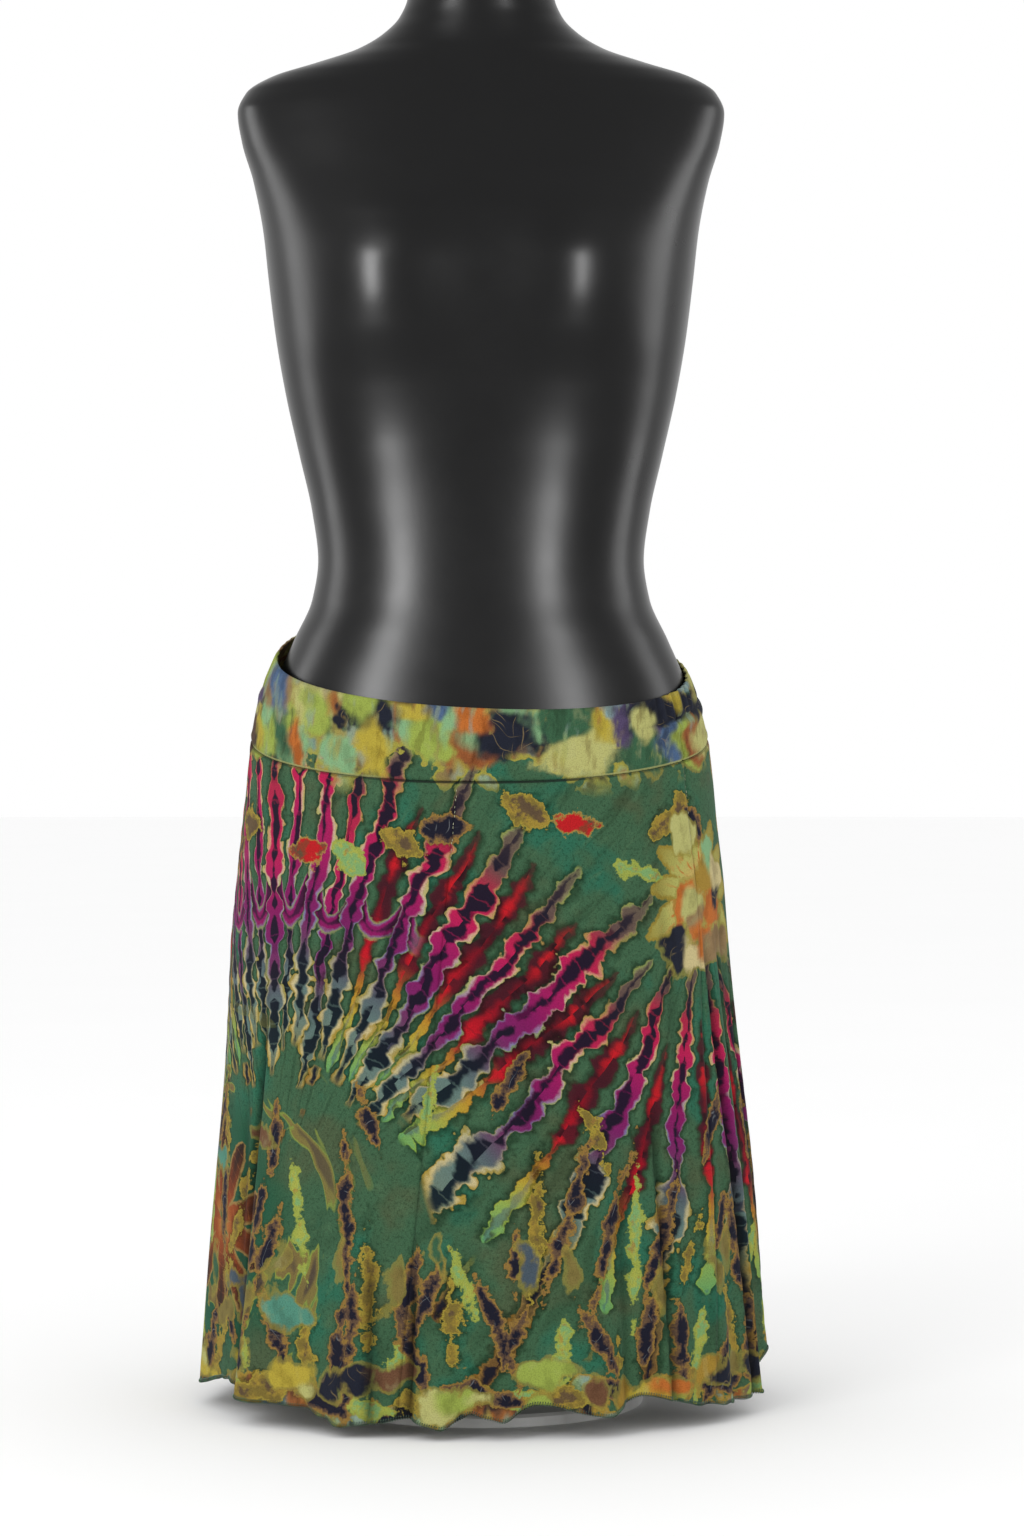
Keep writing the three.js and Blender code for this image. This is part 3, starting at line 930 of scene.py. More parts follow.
LEAVES = (Patch.GOLD, Patch.RED, Patch.PALE, Patch.GOLD, Patch.DARK)
RAYS = (Patch.DARK, Patch.GOLD, Patch.DARK, Patch.DARK, Patch.PALE)
PATCH_BANDS = (
    PatchBand(LEAVES, (350, 410), 38, (12, 25), (4, 10), (-50, 40)),
    PatchBand(RAYS, (188, 232), 58, (16, 26), (2.4, 4.5), (60, 115)),
    PatchBand(RAYS, (88, 148), 23, (20, 46), (2.4, 4.2), (62, 114)),
    PatchBand(RAYS, (34, 76), 21, (18, 36), (3, 4.8), (58, 120)),
    PatchBand((Patch.GOLD, Patch.DARK, Patch.PALE), (20, 32), 34, (16, 26), (5, 8.5), (-15, 22)),
)


def strewn_places(
    chance: np.random.Generator, heights: tuple[float, float], every: float
) -> Iterator[tuple[float, float]]:
    """Places all round the cloth at uneven steps: one by chance in each equal share of the round.

    Args:
        chance: Where the random numbers come from.
        heights: The lowest and the highest place.
        every: The average step between two places.

    Yields:
        Each place as cloth run and height.
    """
    for number in range(int(2 * HALF_ROUND / every)):
        yield (number + chance.uniform(0.1, 0.9)) * every - HALF_ROUND, chance.uniform(*heights)


def strewn_patches(chance: np.random.Generator) -> tuple[PatchRow, ...]:
    """Every band's patches, with sizes and turns by chance within the band's ranges.

    Args:
        chance: The random numbers.

    Returns:
        All the bands' patches.
    """
    return tuple(
        PatchRow(band.kinds[number % len(band.kinds)], run, height, chance.uniform(*band.lengths),
                 chance.uniform(*band.widths), chance.uniform(*band.turns))
        for band in PATCH_BANDS
        for number, (run, height) in enumerate(strewn_places(chance, band.heights, band.every))
    )


class Wash(Enum):
    """The soft washes of other dyes, by their screen colours."""

    NAVY = (34, 38, 52)
    UMBER = (84, 60, 48)
    BROWN = (118, 82, 58)
    RUST = (158, 92, 50)
    ORANGE = (204, 116, 50)
    TAN = (156, 128, 88)
    OLIVE = (136, 122, 66)
    GOLD = (176, 142, 56)
    LEMON = (196, 176, 66)
    CREAM = (220, 204, 148)
    STRAW = (198, 196, 122)
    LIME = (164, 182, 82)
    MINT = (142, 188, 136)
    JADE = (90, 152, 130)
    GREEN = (62, 104, 74)
    SKY = (144, 172, 174)
    BLUE = (82, 108, 144)
    SLATE = (78, 92, 104)
    VIOLET = (90, 76, 110)


class WashRow(NamedTuple):
    """One soft oval wash: its dye, its middle as cloth run and height, half its width and height, and
    how far it is turned from level. Later rows lie over earlier ones."""

    dye: Wash
    run: float
    height: float
    wide: float
    tall: float
    turn: float


class WashBand(NamedTuple):
    """Washes strewn in one band round the cloth, or round one spot where the run has limits: their
    dyes, drawn by chance, the lowest and highest place, the step, and the ranges of their sizes."""

    dyes: tuple[Wash, ...]
    heights: tuple[float, float]
    every: float
    wides: tuple[float, float]
    talls: tuple[float, float]
    runs: tuple[float, float] = (-600, 600)


YOKE_DYES = (
    Wash.LIME, Wash.MINT, Wash.STRAW, Wash.LEMON, Wash.GREEN, Wash.ORANGE, Wash.RUST, Wash.TAN, Wash.SKY,
    Wash.GREEN, Wash.MINT, Wash.LIME, Wash.STRAW, Wash.MINT, Wash.LEMON, Wash.LIME, Wash.BLUE, Wash.VIOLET,
)
FLOWER_DYES = (Wash.CREAM, Wash.STRAW, Wash.ORANGE, Wash.GOLD, Wash.CREAM, Wash.TAN, Wash.MINT, Wash.NAVY)
HEM_DYES = (Wash.GOLD, Wash.LEMON, Wash.BROWN, Wash.LIME, Wash.STRAW, Wash.OLIVE, Wash.NAVY, Wash.ORANGE)
WASH_BANDS = (
    WashBand(YOKE_DYES, (446, 545), 7.5, (8, 24), (8, 20)),
    WashBand((Wash.NAVY, Wash.NAVY, Wash.UMBER), (450, 535), 46, (16, 34), (8, 17)),
    WashBand(YOKE_DYES, (448, 545), 15, (4, 12), (8, 18)),
    WashBand(FLOWER_DYES, (305, 400), 4, (7, 15), (7, 16), (140, 198)),
    WashBand(FLOWER_DYES, (305, 400), 4, (7, 15), (7, 16), (-496, -438)),
    WashBand((Wash.BROWN, Wash.JADE, Wash.OLIVE, Wash.SLATE), (60, 200), 14, (9, 18), (5, 10), (-258, -130)),
    WashBand((Wash.OLIVE, Wash.LEMON, Wash.SLATE, Wash.GREEN), (82, 116), 44, (3, 6), (8, 16)),
    WashBand(HEM_DYES, (14, 46), 21, (6, 16), (4, 13)),
)


def strewn_washes(chance: np.random.Generator) -> tuple[WashRow, ...]:
    """Every band's washes, with dyes, sizes and turns by chance; dropped outside the band's runs.

    Args:
        chance: The random numbers.

    Returns:
        All the bands' washes.
    """
    return tuple(
        WashRow(band.dyes[chance.integers(len(band.dyes))], run, height, chance.uniform(*band.wides),
                chance.uniform(*band.talls), chance.uniform(-24, 24))
        for band in WASH_BANDS
        for run, height in strewn_places(chance, band.heights, band.every)
        if band.runs[0] <= run <= band.runs[1]
    )


@dataclass(frozen=True)
class TieDye:
    """Jersey dyed after it was pleated along a wavy line: streaks cross the line, bands follow it.

    The line winds over a low pivot and under a high one, by turns, all round the skirt. Distances
    outside it and along it stand for how far the dye ran and which pleat it ran along.
    """

    low_run: float = -150.0
    low_height: float = 118.0
    pivot_step: float = 317.0
    pivot_rise: float = 238.0
    low_reach: float = 246.0
    high_reach: float = 153.0
    burst_run: float = -221.0
    burst_height: float = 129.0
    shade: Colour = dye(134, 156, 134)

    def folded_place(self, book: ShaderBook, run: Field, height: Field) -> dict[str, Field]:
        """Where each point lay in the folded cloth.

        Args:
            book: The material's nodes.
            run: Millimetres round the cloth.
            height: Millimetres above the floor.

        Returns:
            The distance outside the fold line, the pleats' numbers and the lateral distances from
            them, how spread the pleats are, which pivot's side it is, and polar places round both.
        """
        x = book.math("PINGPONG", run - self.low_run, self.pivot_step)
        y = height - self.low_height
        x_high, y_high = self.pivot_step - x, self.pivot_rise - y
        slope = math.degrees(math.atan2(self.pivot_rise, self.pivot_step))
        degrees = 180 / math.pi
        low_turn = book.math("ARCTAN2", y, x) * degrees
        high_turn = book.math("ARCTAN2", y_high, x_high) * degrees
        low_away = book.math("POWER", x * x + y * y, 0.5)
        high_away = book.math("POWER", x_high * x_high + y_high * y_high, 0.5)
        over = book.math("GREATER_THAN", low_turn, slope)
        outside = book.where(over, low_away - self.low_reach, self.high_reach - high_away)
        low_count, high_count = (
            book.level(turn, [(row[0], row[1] + 8) for row in rows]) - 8
            for turn, rows in ((low_turn, LOW_PLEATS), (high_turn, HIGH_PLEATS))
        )
        low_step, high_step = (
            book.level(turn, [(row[0], row[2]) for row in rows])
            for turn, rows in ((low_turn, LOW_PLEATS), (high_turn, HIGH_PLEATS))
        )
        pleats = book.where(over, low_count, high_count)
        low_pitch = low_step * (self.low_reach / degrees)
        pitch = book.where(over, low_pitch, high_step * (self.high_reach / degrees))
        near = book.where(over, low_away / self.low_reach, high_away / self.high_reach)
        number = book.math("ROUND", pleats)
        between = book.math("FLOOR", pleats) + 0.5
        off = pleats - number
        x_burst = book.math("WRAP", run - self.burst_run, self.pivot_step, -self.pivot_step)
        y_burst = height - self.burst_height
        return {
            "outside": outside,
            "number": number,
            "between": between,
            "side": book.math("GREATER_THAN", off, 0.0),
            "side_between": book.math("GREATER_THAN", pleats, between),
            "off": book.absolute(off) * pitch,
            "off_between": (0.5 - book.absolute(off)) * pitch,
            "pleats": pleats,
            "spread": book.math("POWER", near, 0.6),
            "over": over,
            "beside": (1 - over) * book.rise(low_away, 128, 118),
            "low_turn": low_turn,
            "low_away": low_away,
            "high_away": high_away,
            "high_turn": high_turn,
            "burst_away": book.math("POWER", x_burst * x_burst + y_burst * y_burst, 0.5),
            "burst_turn": book.math("ARCTAN2", y_burst, x_burst) * degrees,
        }

    def streak(
        self, book: ShaderBook, ground: Field, rows: Sequence[StreakRow], lots: tuple[Field, Field, Field],
        along: Field, lateral: Field, lumps: tuple[Field, Field], jag: Field, torn: Field, here: Field,
        wider: Field
    ) -> Field:
        """One set of streaks over a ground: each row's widths and colours, read by how far outside the
        fold line the point is, scaled by the streak's own random numbers and lumps.

        Args:
            book: The material's nodes.
            ground: The colour below.
            rows: The streak's table.
            lots: Three random numbers of this streak.
            along: The distance outside the fold line, shifted by the streak's own amount.
            lateral: The distance from the streak's middle line.
            lumps: Two noises along the streak, for its outline and its core.
            jag: A ragged noise around zero, in millimetres.
            torn: A noise from 0 to 1 that makes the pale rim come and go.
            here: 1 where these streaks show and 0 where they don't.
            wider: How much wider than their table's the streaks are.

        Returns:
            The colour with the streaks laid over it.
        """
        half = book.level(along, [(row.along, row.half) for row in rows])
        core = book.level(along, [(row.along, row.core) for row in rows])
        rim = book.level(along, [(row.along, row.rim) for row in rows])
        soft = book.level(along, [(row.along, row.soft) for row in rows])
        rim_colour = book.ramp(along, [(row.along, row.rim_colour) for row in rows])
        glow_colour = book.ramp(along, [(row.along, row.glow_colour) for row in rows])
        body_colour = book.ramp(along, [(row.along, row.body_colour) for row in rows])
        core_colour = book.ramp(along, [(row.along, row.core_colour) for row in rows])
        there = book.rise(half, 0.2, 0.9) * here
        swell, blots = book.rise(lumps[0], 0.3, 0.7), book.rise(lumps[1], 0.32, 0.66)
        half = half * (0.7 + lots[1] * 0.45) * (0.5 + swell * 1.0) * wider
        core = book.math("MINIMUM", core * (0.55 + lots[2] * 0.8) * (blots * 2.1 - 0.15), half - 1.0)
        rim = rim * (0.15 + torn * 1.3) * (wider + 0.2)
        teeth = book.absolute(book.math("FRACT", along / 9.5 + lots[2] * 5 + lumps[1] * 2) - 0.5)
        inside = half - lateral + jag * 0.8 + (teeth - 0.25) * 1.6
        below = book.rise(inside, (rim + 5.0) * -1, rim * -1) * there
        laid = book.tint(ground, self.shade, below * 0.8)
        laid = book.mix(laid, rim_colour, book.rise(inside, rim * -1 - 0.5, rim * -1 + 0.6) * there)
        laid = book.mix(laid, glow_colour, book.rise(inside, rim * -0.85, rim * -0.25) * there)
        strength = book.rise(lumps[0], 0.46, 0.36) * (wider * -1 + 1.7)
        deeper = book.tint(body_colour, dye(150, 120, 170), strength)
        laid = book.mix(laid, deeper, book.rise(inside, soft * -0.9, soft * 0.9) * there)
        dash = book.absolute(book.math("FRACT", along / 14 + lots[0] * 3 + jag * 0.06) - 0.5)
        whole = book.rise(dash, 0.015, 0.06) * 0.3 + 0.7
        inner = core - lateral + jag * 0.7
        blur = soft * 0.45 + 0.4
        share = book.rise(inner, blur * -1.6, blur) * whole * book.rise(core, 0.1, 0.5) * there
        return book.mix(laid, core_colour, share)

    def colour(self, book: ShaderBook) -> Field:
        """The dyed colour at each point.

        Args:
            book: The material's nodes.

        Returns:
            The colour: mottled ground, streaks, yoke and hem clouds, bursts, patches and washes, in that
                order, then the seam's painted highlight and shadow.
        """
        place = Field(book, book.attribute("cloth_place").outputs["Vector"])
        run0, height0, above = book.parts(place)
        flat = book.vector(run0, height0)
        wide = book.parts(book.noise(flat, 64, 1.5, colour=True))
        ragged = book.parts(book.noise(flat, 12, 2.0, 0.55, colour=True))
        fine = book.parts(book.noise(flat, 3.4, 2.5, 0.62, colour=True))
        run = run0 + (wide[0] - 0.5) * 13 + (ragged[0] - 0.5) * 1.6
        height = height0 + (wide[1] - 0.5) * 13 + (ragged[1] - 0.5) * 1.6
        jag = (ragged[2] - 0.5) * 3.2 + (fine[0] - 0.5) * 3.0
        torn = book.rise(book.noise(flat, 15, 2.0, 0.5), 0.44, 0.66)
        fold = self.folded_place(book, run, height)

        coloured = self.ground(book, flat, fold)
        left = book.rise(fold["low_turn"], 66, 84) * fold["over"]
        outside = fold["outside"] - left * book.rise(fold["outside"], 0, 70) * 30
        wider = left * 0.45 + 0.88
        lots = book.lot(fold["between"] * 3 + 7)
        along = outside + (lots[0] - 0.5) * 30
        lumps = self.lumps(book, fold["between"], fold["side_between"], along)
        gaps = book.noise(book.vector(fold["between"] * 131 + 700, along), 34, 1.0)
        low = book.rise(along, -128, -122)
        here = (low + (1 - low) * book.rise(gaps, 0.52, 0.58) * (1 - fold["over"])) * (1 - fold["beside"])
        lateral = fold["off_between"] * fold["spread"]
        upper = book.rise(fold["low_turn"], 74, 76) * fold["over"]
        streaks = (RED_STREAK, lots, along, lateral, lumps, jag, torn, here * (1 - upper), wider)
        coloured = self.streak(book, coloured, *streaks)
        streaks = (MAGENTA_STREAK, lots, along, lateral * 1.5, lumps, jag, torn, here * upper, wider)
        coloured = self.streak(book, coloured, *streaks)

        lots = book.lot(fold["number"] + 11.5)
        coloured = self.bridges(book, coloured, fold, jag)
        along = outside + (lots[0] - 0.5) * 30
        lumps = self.lumps(book, fold["number"], fold["side"], along)
        gaps = book.noise(book.vector(fold["number"] * 117 + 300, along), 40, 1.0)
        low = book.rise(along, -124, -114)
        faded = book.rise(gaps + (1 - fold["over"]) * 0.3, 0.50, 0.56)
        ends = book.math("MAXIMUM", book.rise(fold["low_away"] - lots[1] * 70, 66, 78), 1 - fold["over"])
        here = (low + (1 - low) * faded * ends) * (1 - fold["beside"])
        lateral = fold["off"] * fold["spread"]
        streaks = (MAGENTA_STREAK, lots, along, lateral, lumps, jag, torn, here, wider)
        coloured = self.streak(book, coloured, *streaks)

        lines = self.crease_lines(book, flat)
        clouds = self.clouds(book, flat, lines)
        coloured = self.hem_ground(book, coloured, clouds, flat, height0, fine[1])
        coloured = self.yoke_ground(book, coloured, clouds, flat, above, ragged[2], fine[2])
        coloured = self.low_burst_rays(book, coloured, fold, jag)
        coloured = self.high_burst(book, coloured, fold, jag)
        coloured = self.patches(book, coloured, flat, lines, jag)
        coloured = self.washes(book, coloured, clouds, flat, above, lines, jag)
        # Last, the yoke seam's painted highlight and painted shadow.
        return self.seam_painted_light(book, coloured, flat, above)

    def lumps(self, book: ShaderBook, number: Field, side: Field, along: Field) -> tuple[Field, Field]:
        """Two noises along one side of one streak, from 0 to 1."""
        both = book.noise(book.vector(number * 137 + side * 61, along), 14, 1.5, 0.5, colour=True)
        first, second, _ = book.parts(both)
        return first, second

    def ground(self, book: ShaderBook, flat: Field, fold: dict[str, Field]) -> Field:
        """Green mottled with teal and olive, with faint darker lines where the pleats were.

        Args:
            book: The material's nodes.
            flat: Cloth run and height.
            fold: The place in the folded cloth.

        Returns:
            The ground colour.
        """
        cloudy = book.noise(flat, 70, 3.0, 0.6)
        speckled = book.noise(flat, 2.2, 2.0, 0.7)
        brushed = book.noise(book.vector(fold["pleats"] * 9.0, fold["outside"] * 0.05), 1.0, 3.0, 0.6)
        green = book.mix(dye(68, 106, 76), dye(50, 114, 88), book.rise(cloudy, 0.52, 0.68))
        green = book.mix(green, dye(84, 98, 68), book.rise(cloudy, 0.46, 0.30) * 0.8)
        green = book.mix(green, dye(90, 126, 90), book.rise(brushed, 0.54, 0.76) * 0.4)
        green = book.tint(green, dye(190, 196, 186), book.rise(speckled, 0.50, 0.72) * 0.6)
        pleated = book.vector(fold["pleats"] * 5.0, fold["outside"] * 0.012)
        lines = book.noise(pleated, 1.0, 2.0, 0.6)
        return book.tint(green, dye(160, 168, 150), book.rise(lines, 0.54, 0.74) * 0.35)

    def clouds(self, book: ShaderBook, flat: Field, lines: Field) -> Field:
        """Blurred clouds of pale green, pale blue, yellow, ochre and rust, drawn out upright, with dark
        blotches.

        Args:
            book: The material's nodes.
            flat: Cloth run and height.
            lines: 1 on the fine crease lines.

        Returns:
            The clouds.
        """
        x, y, _ = book.parts(flat)
        first = book.noise(book.vector(x, y * 0.5), 40, 2.0, 0.5)
        second = book.noise(book.vector(x + 2000, y * 0.4), 26, 2.5, 0.55)
        third = book.noise(book.vector(x + 4000, y * 0.8), 30, 3.0, 0.6)
        fourth = book.noise(book.vector(x + 6000, y * 0.5), 22, 2.0, 0.5)
        clouded = book.ramp(first, [
            (0.28, dye(96, 118, 134)),
            (0.37, dye(140, 166, 150)),
            (0.45, dye(158, 182, 128)),
            (0.52, dye(176, 172, 86)),
            (0.60, dye(164, 144, 78)),
            (0.70, dye(126, 104, 80)),
        ])
        clouded = book.mix(clouded, dye(150, 172, 158), book.rise(fourth, 0.50, 0.66) * 0.8)
        clouded = book.mix(clouded, dye(164, 96, 48), book.rise(second, 0.52, 0.66) * 0.95)
        clouded = book.mix(clouded, dye(92, 66, 52), book.rise(second, 0.64, 0.72) * 0.8)
        blotch = book.mix(dye(32, 34, 46), dye(136, 118, 82), lines)
        return book.mix(clouded, blotch, book.rise(third, 0.57, 0.66))

    def yoke_ground(
        self, book: ShaderBook, ground: Field, clouds: Field, flat: Field, above: Field, ragged: Field,
        fine: Field
    ) -> Field:
        """Clouds on the yoke, down to a ragged yellow rim, with islands of the green left in them.

        Args:
            book: The material's nodes.
            ground: The colour below.
            clouds: The clouds' colour.
            flat: Cloth run and height.
            above: Millimetres above the yoke seam.
            ragged: A noise that frays the edge.
            fine: A finer noise.

        Returns:
            The colour with the clouds over it.
        """
        shore = book.noise(flat, 34, 3.0, 0.55)
        reach = above - 13 + (shore - 0.5) * 130 + (ragged - 0.5) * 14 + (fine - 0.5) * 6
        over_seam = book.rise(above, -16, 6)
        rimmed = book.mix(ground, dye(172, 164, 70), book.rise(reach, -2.0, 0.5) * over_seam)
        return book.mix(rimmed, clouds, book.rise(reach, 1.5, 12.0) * over_seam)

    def hem_ground(
        self, book: ShaderBook, ground: Field, clouds: Field, flat: Field, height: Field, fine: Field
    ) -> Field:
        """Clouds in places along the hem, up to a ragged ochre rim.

        Args:
            book: The material's nodes.
            ground: The colour below.
            clouds: The clouds' colour.
            flat: Cloth run and height.
            height: Millimetres above the floor.
            fine: A finer noise.

        Returns:
            The colour with the clouds over it.
        """
        x, y, _ = book.parts(flat)
        shore = book.noise(book.vector(x + 8000, y), 44, 3.0, 0.55)
        reach = 22 - height + (shore - 0.5) * 120 + (fine - 0.5) * 8
        near = book.rise(height, 70, 54)
        rimmed = book.mix(ground, dye(170, 140, 56), book.rise(reach, -2.0, 0.5) * near)
        return book.mix(rimmed, clouds, book.rise(reach, 0.5, 8.0) * near)

    def low_burst_rays(self, book: ShaderBook, ground: Field, fold: dict[str, Field], jag: Field) -> Field:
        """Thick rust-brown rays out of the low pivot, each a rounded bar in short lengths.

        Args:
            book: The material's nodes.
            ground: The colour below.
            fold: The place in the folded cloth.
            jag: Ragged noise, in millimetres.

        Returns:
            The colour with the rays over it.
        """
        ray = fold["burst_turn"] / 37 + 0.5
        number = book.math("ROUND", ray)
        lots = book.lot(number + 31.3)
        off = book.absolute(ray - number + (lots[2] - 0.5) * 0.2) * fold["burst_away"] * (37 * math.pi / 180)
        away = fold["burst_away"] + (lots[0] - 0.5) * 16
        half = book.level(away, [(0, 0.0), (5, 0.8), (13, 6.6), (40, 7.8), (56, 7.6), (66, 0.0)])
        inside = half * (0.8 + lots[1] * 0.4) - off + jag * 0.7
        there = book.rise(half, 0.1, 0.8)
        rust = book.ramp(away, [
            (4, dye(190, 124, 60)),
            (16, dye(160, 78, 34)),
            (32, dye(126, 60, 28)),
            (48, dye(92, 50, 28)),
            (62, dye(54, 40, 34)),
        ])
        near = book.rise(away, 100, 64)
        teal = book.mix(ground, dye(38, 92, 66), near * 0.92)
        speck = book.noise(book.vector(fold["burst_turn"] * 0.5, away), 20, 2.5, 0.55)
        wide = book.rise(away, 170, 90)
        speck = speck + (wide - 1) * 0.06 - 0.03
        teal = book.mix(teal, dye(146, 160, 70), book.rise(speck, 0.56, 0.58) * wide)
        teal = book.mix(teal, dye(132, 114, 66), book.rise(speck, 0.58, 0.60) * wide)
        teal = book.mix(teal, dye(84, 72, 62), book.rise(speck, 0.62, 0.70) * wide)
        rimmed = book.mix(teal, dye(166, 134, 76), book.rise(inside, -2.6, -1.4) * there)
        barred = book.mix(rimmed, rust, book.rise(inside, -1.2, 1.2) * there)
        dash = book.absolute(book.math("FRACT", away / 8.5 + lots[1] * 3) - 0.5)
        bars = book.rise(dash, 0.06, 0.01) * book.rise(inside, 0, 2) * there * 0.4
        barred = book.mix(barred, dye(190, 118, 64), bars)
        dark = book.rise(inside, 2.4, 6.0) * book.rise(away, 16, 52) * there
        return book.mix(barred, dye(44, 28, 26), dark * 0.75)

    def high_burst(self, book: ShaderBook, ground: Field, fold: dict[str, Field], jag: Field) -> Field:
        """A pale yellow flower with an orange heart and rays round the high pivot.

        Args:
            book: The material's nodes.
            ground: The colour below.
            fold: The place in the folded cloth.
            jag: Ragged noise, in millimetres.

        Returns:
            The colour with the flower over it.
        """
        ray = fold["high_turn"] / 33
        number = book.math("ROUND", ray)
        off = book.absolute(ray - number) * fold["high_away"] * (33 * math.pi / 180)
        lots = book.lot(number + 4.1)
        away = fold["high_away"] + (lots[0] - 0.5) * 26
        half = book.level(away, [(0, 8.0), (14, 9.0), (30, 9.0), (44, 6.0), (56, 0.0)])
        inside = half - off + jag * 1.4
        veins = book.noise(book.vector(ray * 26, away * 0.5), 7, 2.0, 0.6)
        petal = book.ramp(away, [
            (4, dye(206, 120, 44)),
            (18, dye(212, 176, 100)),
            (30, dye(190, 188, 104)),
            (54, dye(160, 144, 62)),
        ])
        petal = book.mix(petal, dye(200, 104, 36), book.rise(veins, 0.56, 0.66) * book.rise(away, 46, 16))
        there = book.rise(half, 0.1, 1.0)
        rimmed = book.mix(ground, dye(160, 140, 56), book.rise(inside, -3.0, -1.4) * there)
        return book.mix(rimmed, petal, book.rise(inside, -0.8, 2.0) * there)

    def bridges(self, book: ShaderBook, ground: Field, fold: dict[str, Field], jag: Field) -> Field:
        """Magenta swags that join neighbouring streaks over the low pivot, thick beside each streak and
        thin midway, like scallops.

        Args:
            book: The material's nodes.
            ground: The colour below.
            fold: The place in the folded cloth.
            jag: Ragged noise, in millimetres.

        Returns:
            The colour with the swags over it.
        """
        lots = book.lot(fold["between"] * 5 + 2)
        sag = fold["outside"] + 26 + (lots[0] - 0.5) * 22
        bowl = fold["off_between"] * fold["off_between"] * (0.02 + lots[1] * 0.03)
        thick = 2.6 + lots[2] * 3.4
        inside = book.math("MINIMUM", thick + bowl * 2.4 - sag, thick + sag - bowl * 0.9) + jag * 1.2
        side = book.rise(fold["low_turn"], 60, 64) * book.rise(fold["low_turn"], 91, 89) * fold["over"]
        rimmed = book.mix(ground, dye(150, 160, 104), book.rise(inside, -3.4, -1.6) * side * 0.8)
        glowing = book.mix(rimmed, dye(140, 96, 140), book.rise(inside, -1.8, 0.0) * side)
        magenta = book.mix(dye(148, 24, 100), dye(74, 18, 62), book.rise(inside, 2.5, 6.0))
        return book.mix(glowing, magenta, book.rise(inside, -0.6, 1.8) * side)

    def patches(self, book: ShaderBook, ground: Field, flat: Field, lines: Field, jag: Field) -> Field:
        """Leaf-shaped patches: each kind's field is above zero inside and is measured in millimetres.

        Args:
            book: The material's nodes.
            ground: The colour below.
            flat: Cloth run and height.
            lines: 1 on the fine crease lines.
            jag: Ragged noise, in millimetres.

        Returns:
            The colour with the patches over it.
        """
        node = book.attribute("dye_patches")
        gold, red, dark = book.parts(Field(book, node.outputs["Color"]))
        pale = Field(book, node.outputs["Alpha"])
        torn = (book.noise(flat, 15, 4.0, 0.66) - 0.5) * 26 + jag * 0.6
        gold, red, dark, pale = gold + torn, red + torn, dark + torn * 0.7, pale + torn * 0.7
        mottle, second, third = book.parts(book.noise(flat, 11, 3.0, 0.62, colour=True))

        laid = book.tint(ground, self.shade, book.rise(book.math("MAXIMUM", gold, dark), -6.0, -1.0) * 0.7)
        laid = book.mix(laid, dye(164, 176, 78), book.rise(pale, -2.2, -0.8))
        leaf = book.mix(dye(134, 178, 112), dye(176, 182, 82), book.rise(mottle, 0.45, 0.6))
        leaf = book.mix(leaf, dye(170, 132, 62), book.rise(second, 0.56, 0.68) * 0.7)
        laid = book.mix(laid, leaf, book.rise(pale, -0.4, 1.6))
        laid = book.mix(laid, dye(172, 152, 60), book.rise(gold, -1.8, -0.4))
        ochre = book.mix(dye(134, 116, 54), dye(168, 142, 58), book.rise(mottle, 0.42, 0.62))
        ochre = book.mix(ochre, dye(92, 72, 60), book.rise(gold + (second - 0.5) * 16, 4.0, 8.0) * 0.85)
        laid = book.mix(laid, ochre, book.rise(gold, 0.0, 1.6))
        laid = book.mix(laid, dye(182, 150, 70), book.rise(red, -1.6, -0.4) * 0.8)
        scarlet = book.mix(dye(202, 30, 36), dye(150, 62, 42), book.rise(mottle, 0.46, 0.6))
        scarlet = book.mix(scarlet, dye(78, 84, 60), book.rise(third, 0.54, 0.64) * 0.7)
        laid = book.mix(laid, scarlet, book.rise(red, -0.2, 2.4))
        laid = book.mix(laid, dye(156, 122, 60), book.rise(dark, -3.2, -2.0))
        laid = book.mix(laid, dye(108, 84, 64), book.rise(dark, -1.8, 0.0))
        navy = book.mix(dye(28, 28, 44), dye(126, 130, 134), lines)
        return book.mix(laid, navy, book.rise(dark + (second - 0.5) * 6, -0.4, 2.2))

    def washes(
        self, book: ShaderBook, ground: Field, clouds: Field, flat: Field, above: Field, lines: Field,
        jag: Field
    ) -> Field:
        """Soft ovals of other dyes, ragged with a pale rim on the gores and blurred on the yoke, with
        tan crease lines where they are dark.

        Args:
            book: The material's nodes.
            ground: The colour below.
            clouds: The clouds' colour.
            flat: Cloth run and height.
            above: Millimetres above the yoke seam.
            lines: 1 on the fine crease lines.
            jag: Ragged noise, in millimetres.

        Returns:
            The colour with the washes over it.
        """
        node = book.attribute("dye_washes")
        washed, inside = Field(book, node.outputs["Color"]), Field(book, node.outputs["Alpha"])
        x, y, _ = book.parts(flat)
        cloudy, torn, _ = book.parts(book.noise(book.vector(x, y * 0.6), 12, 3.0, 0.55, colour=True))
        on_yoke = book.rise(above, -1.5, 1.5)
        edge = inside + jag * 0.4 + (torn - 0.5) * 10 + on_yoke * 3
        rimmed = book.mix(ground, dye(160, 148, 66), book.rise(edge, -2.4, -1.2) * (1 - on_yoke) * 0.6)
        deep = book.rise(book.parts(washed)[1], 0.034, 0.022)
        washed = book.tint(washed, dye(196, 190, 186), book.rise(cloudy, 0.48, 0.70) * 0.4)
        washed = book.mix(washed, dye(196, 196, 140), book.rise(cloudy, 0.42, 0.24) * (1 - deep) * 0.2)
        drawn = book.vector(x + 900 - y * 0.1, y * 0.3)
        upright = book.noise(drawn, 10, 3.0, 0.6)
        washed = book.mix(washed, clouds, book.rise(upright, 0.52, 0.70) * on_yoke * (1 - deep) * 0.6)
        washed = book.tint(washed, dye(168, 140, 110), book.rise(upright, 0.42, 0.30) * on_yoke * 0.4)
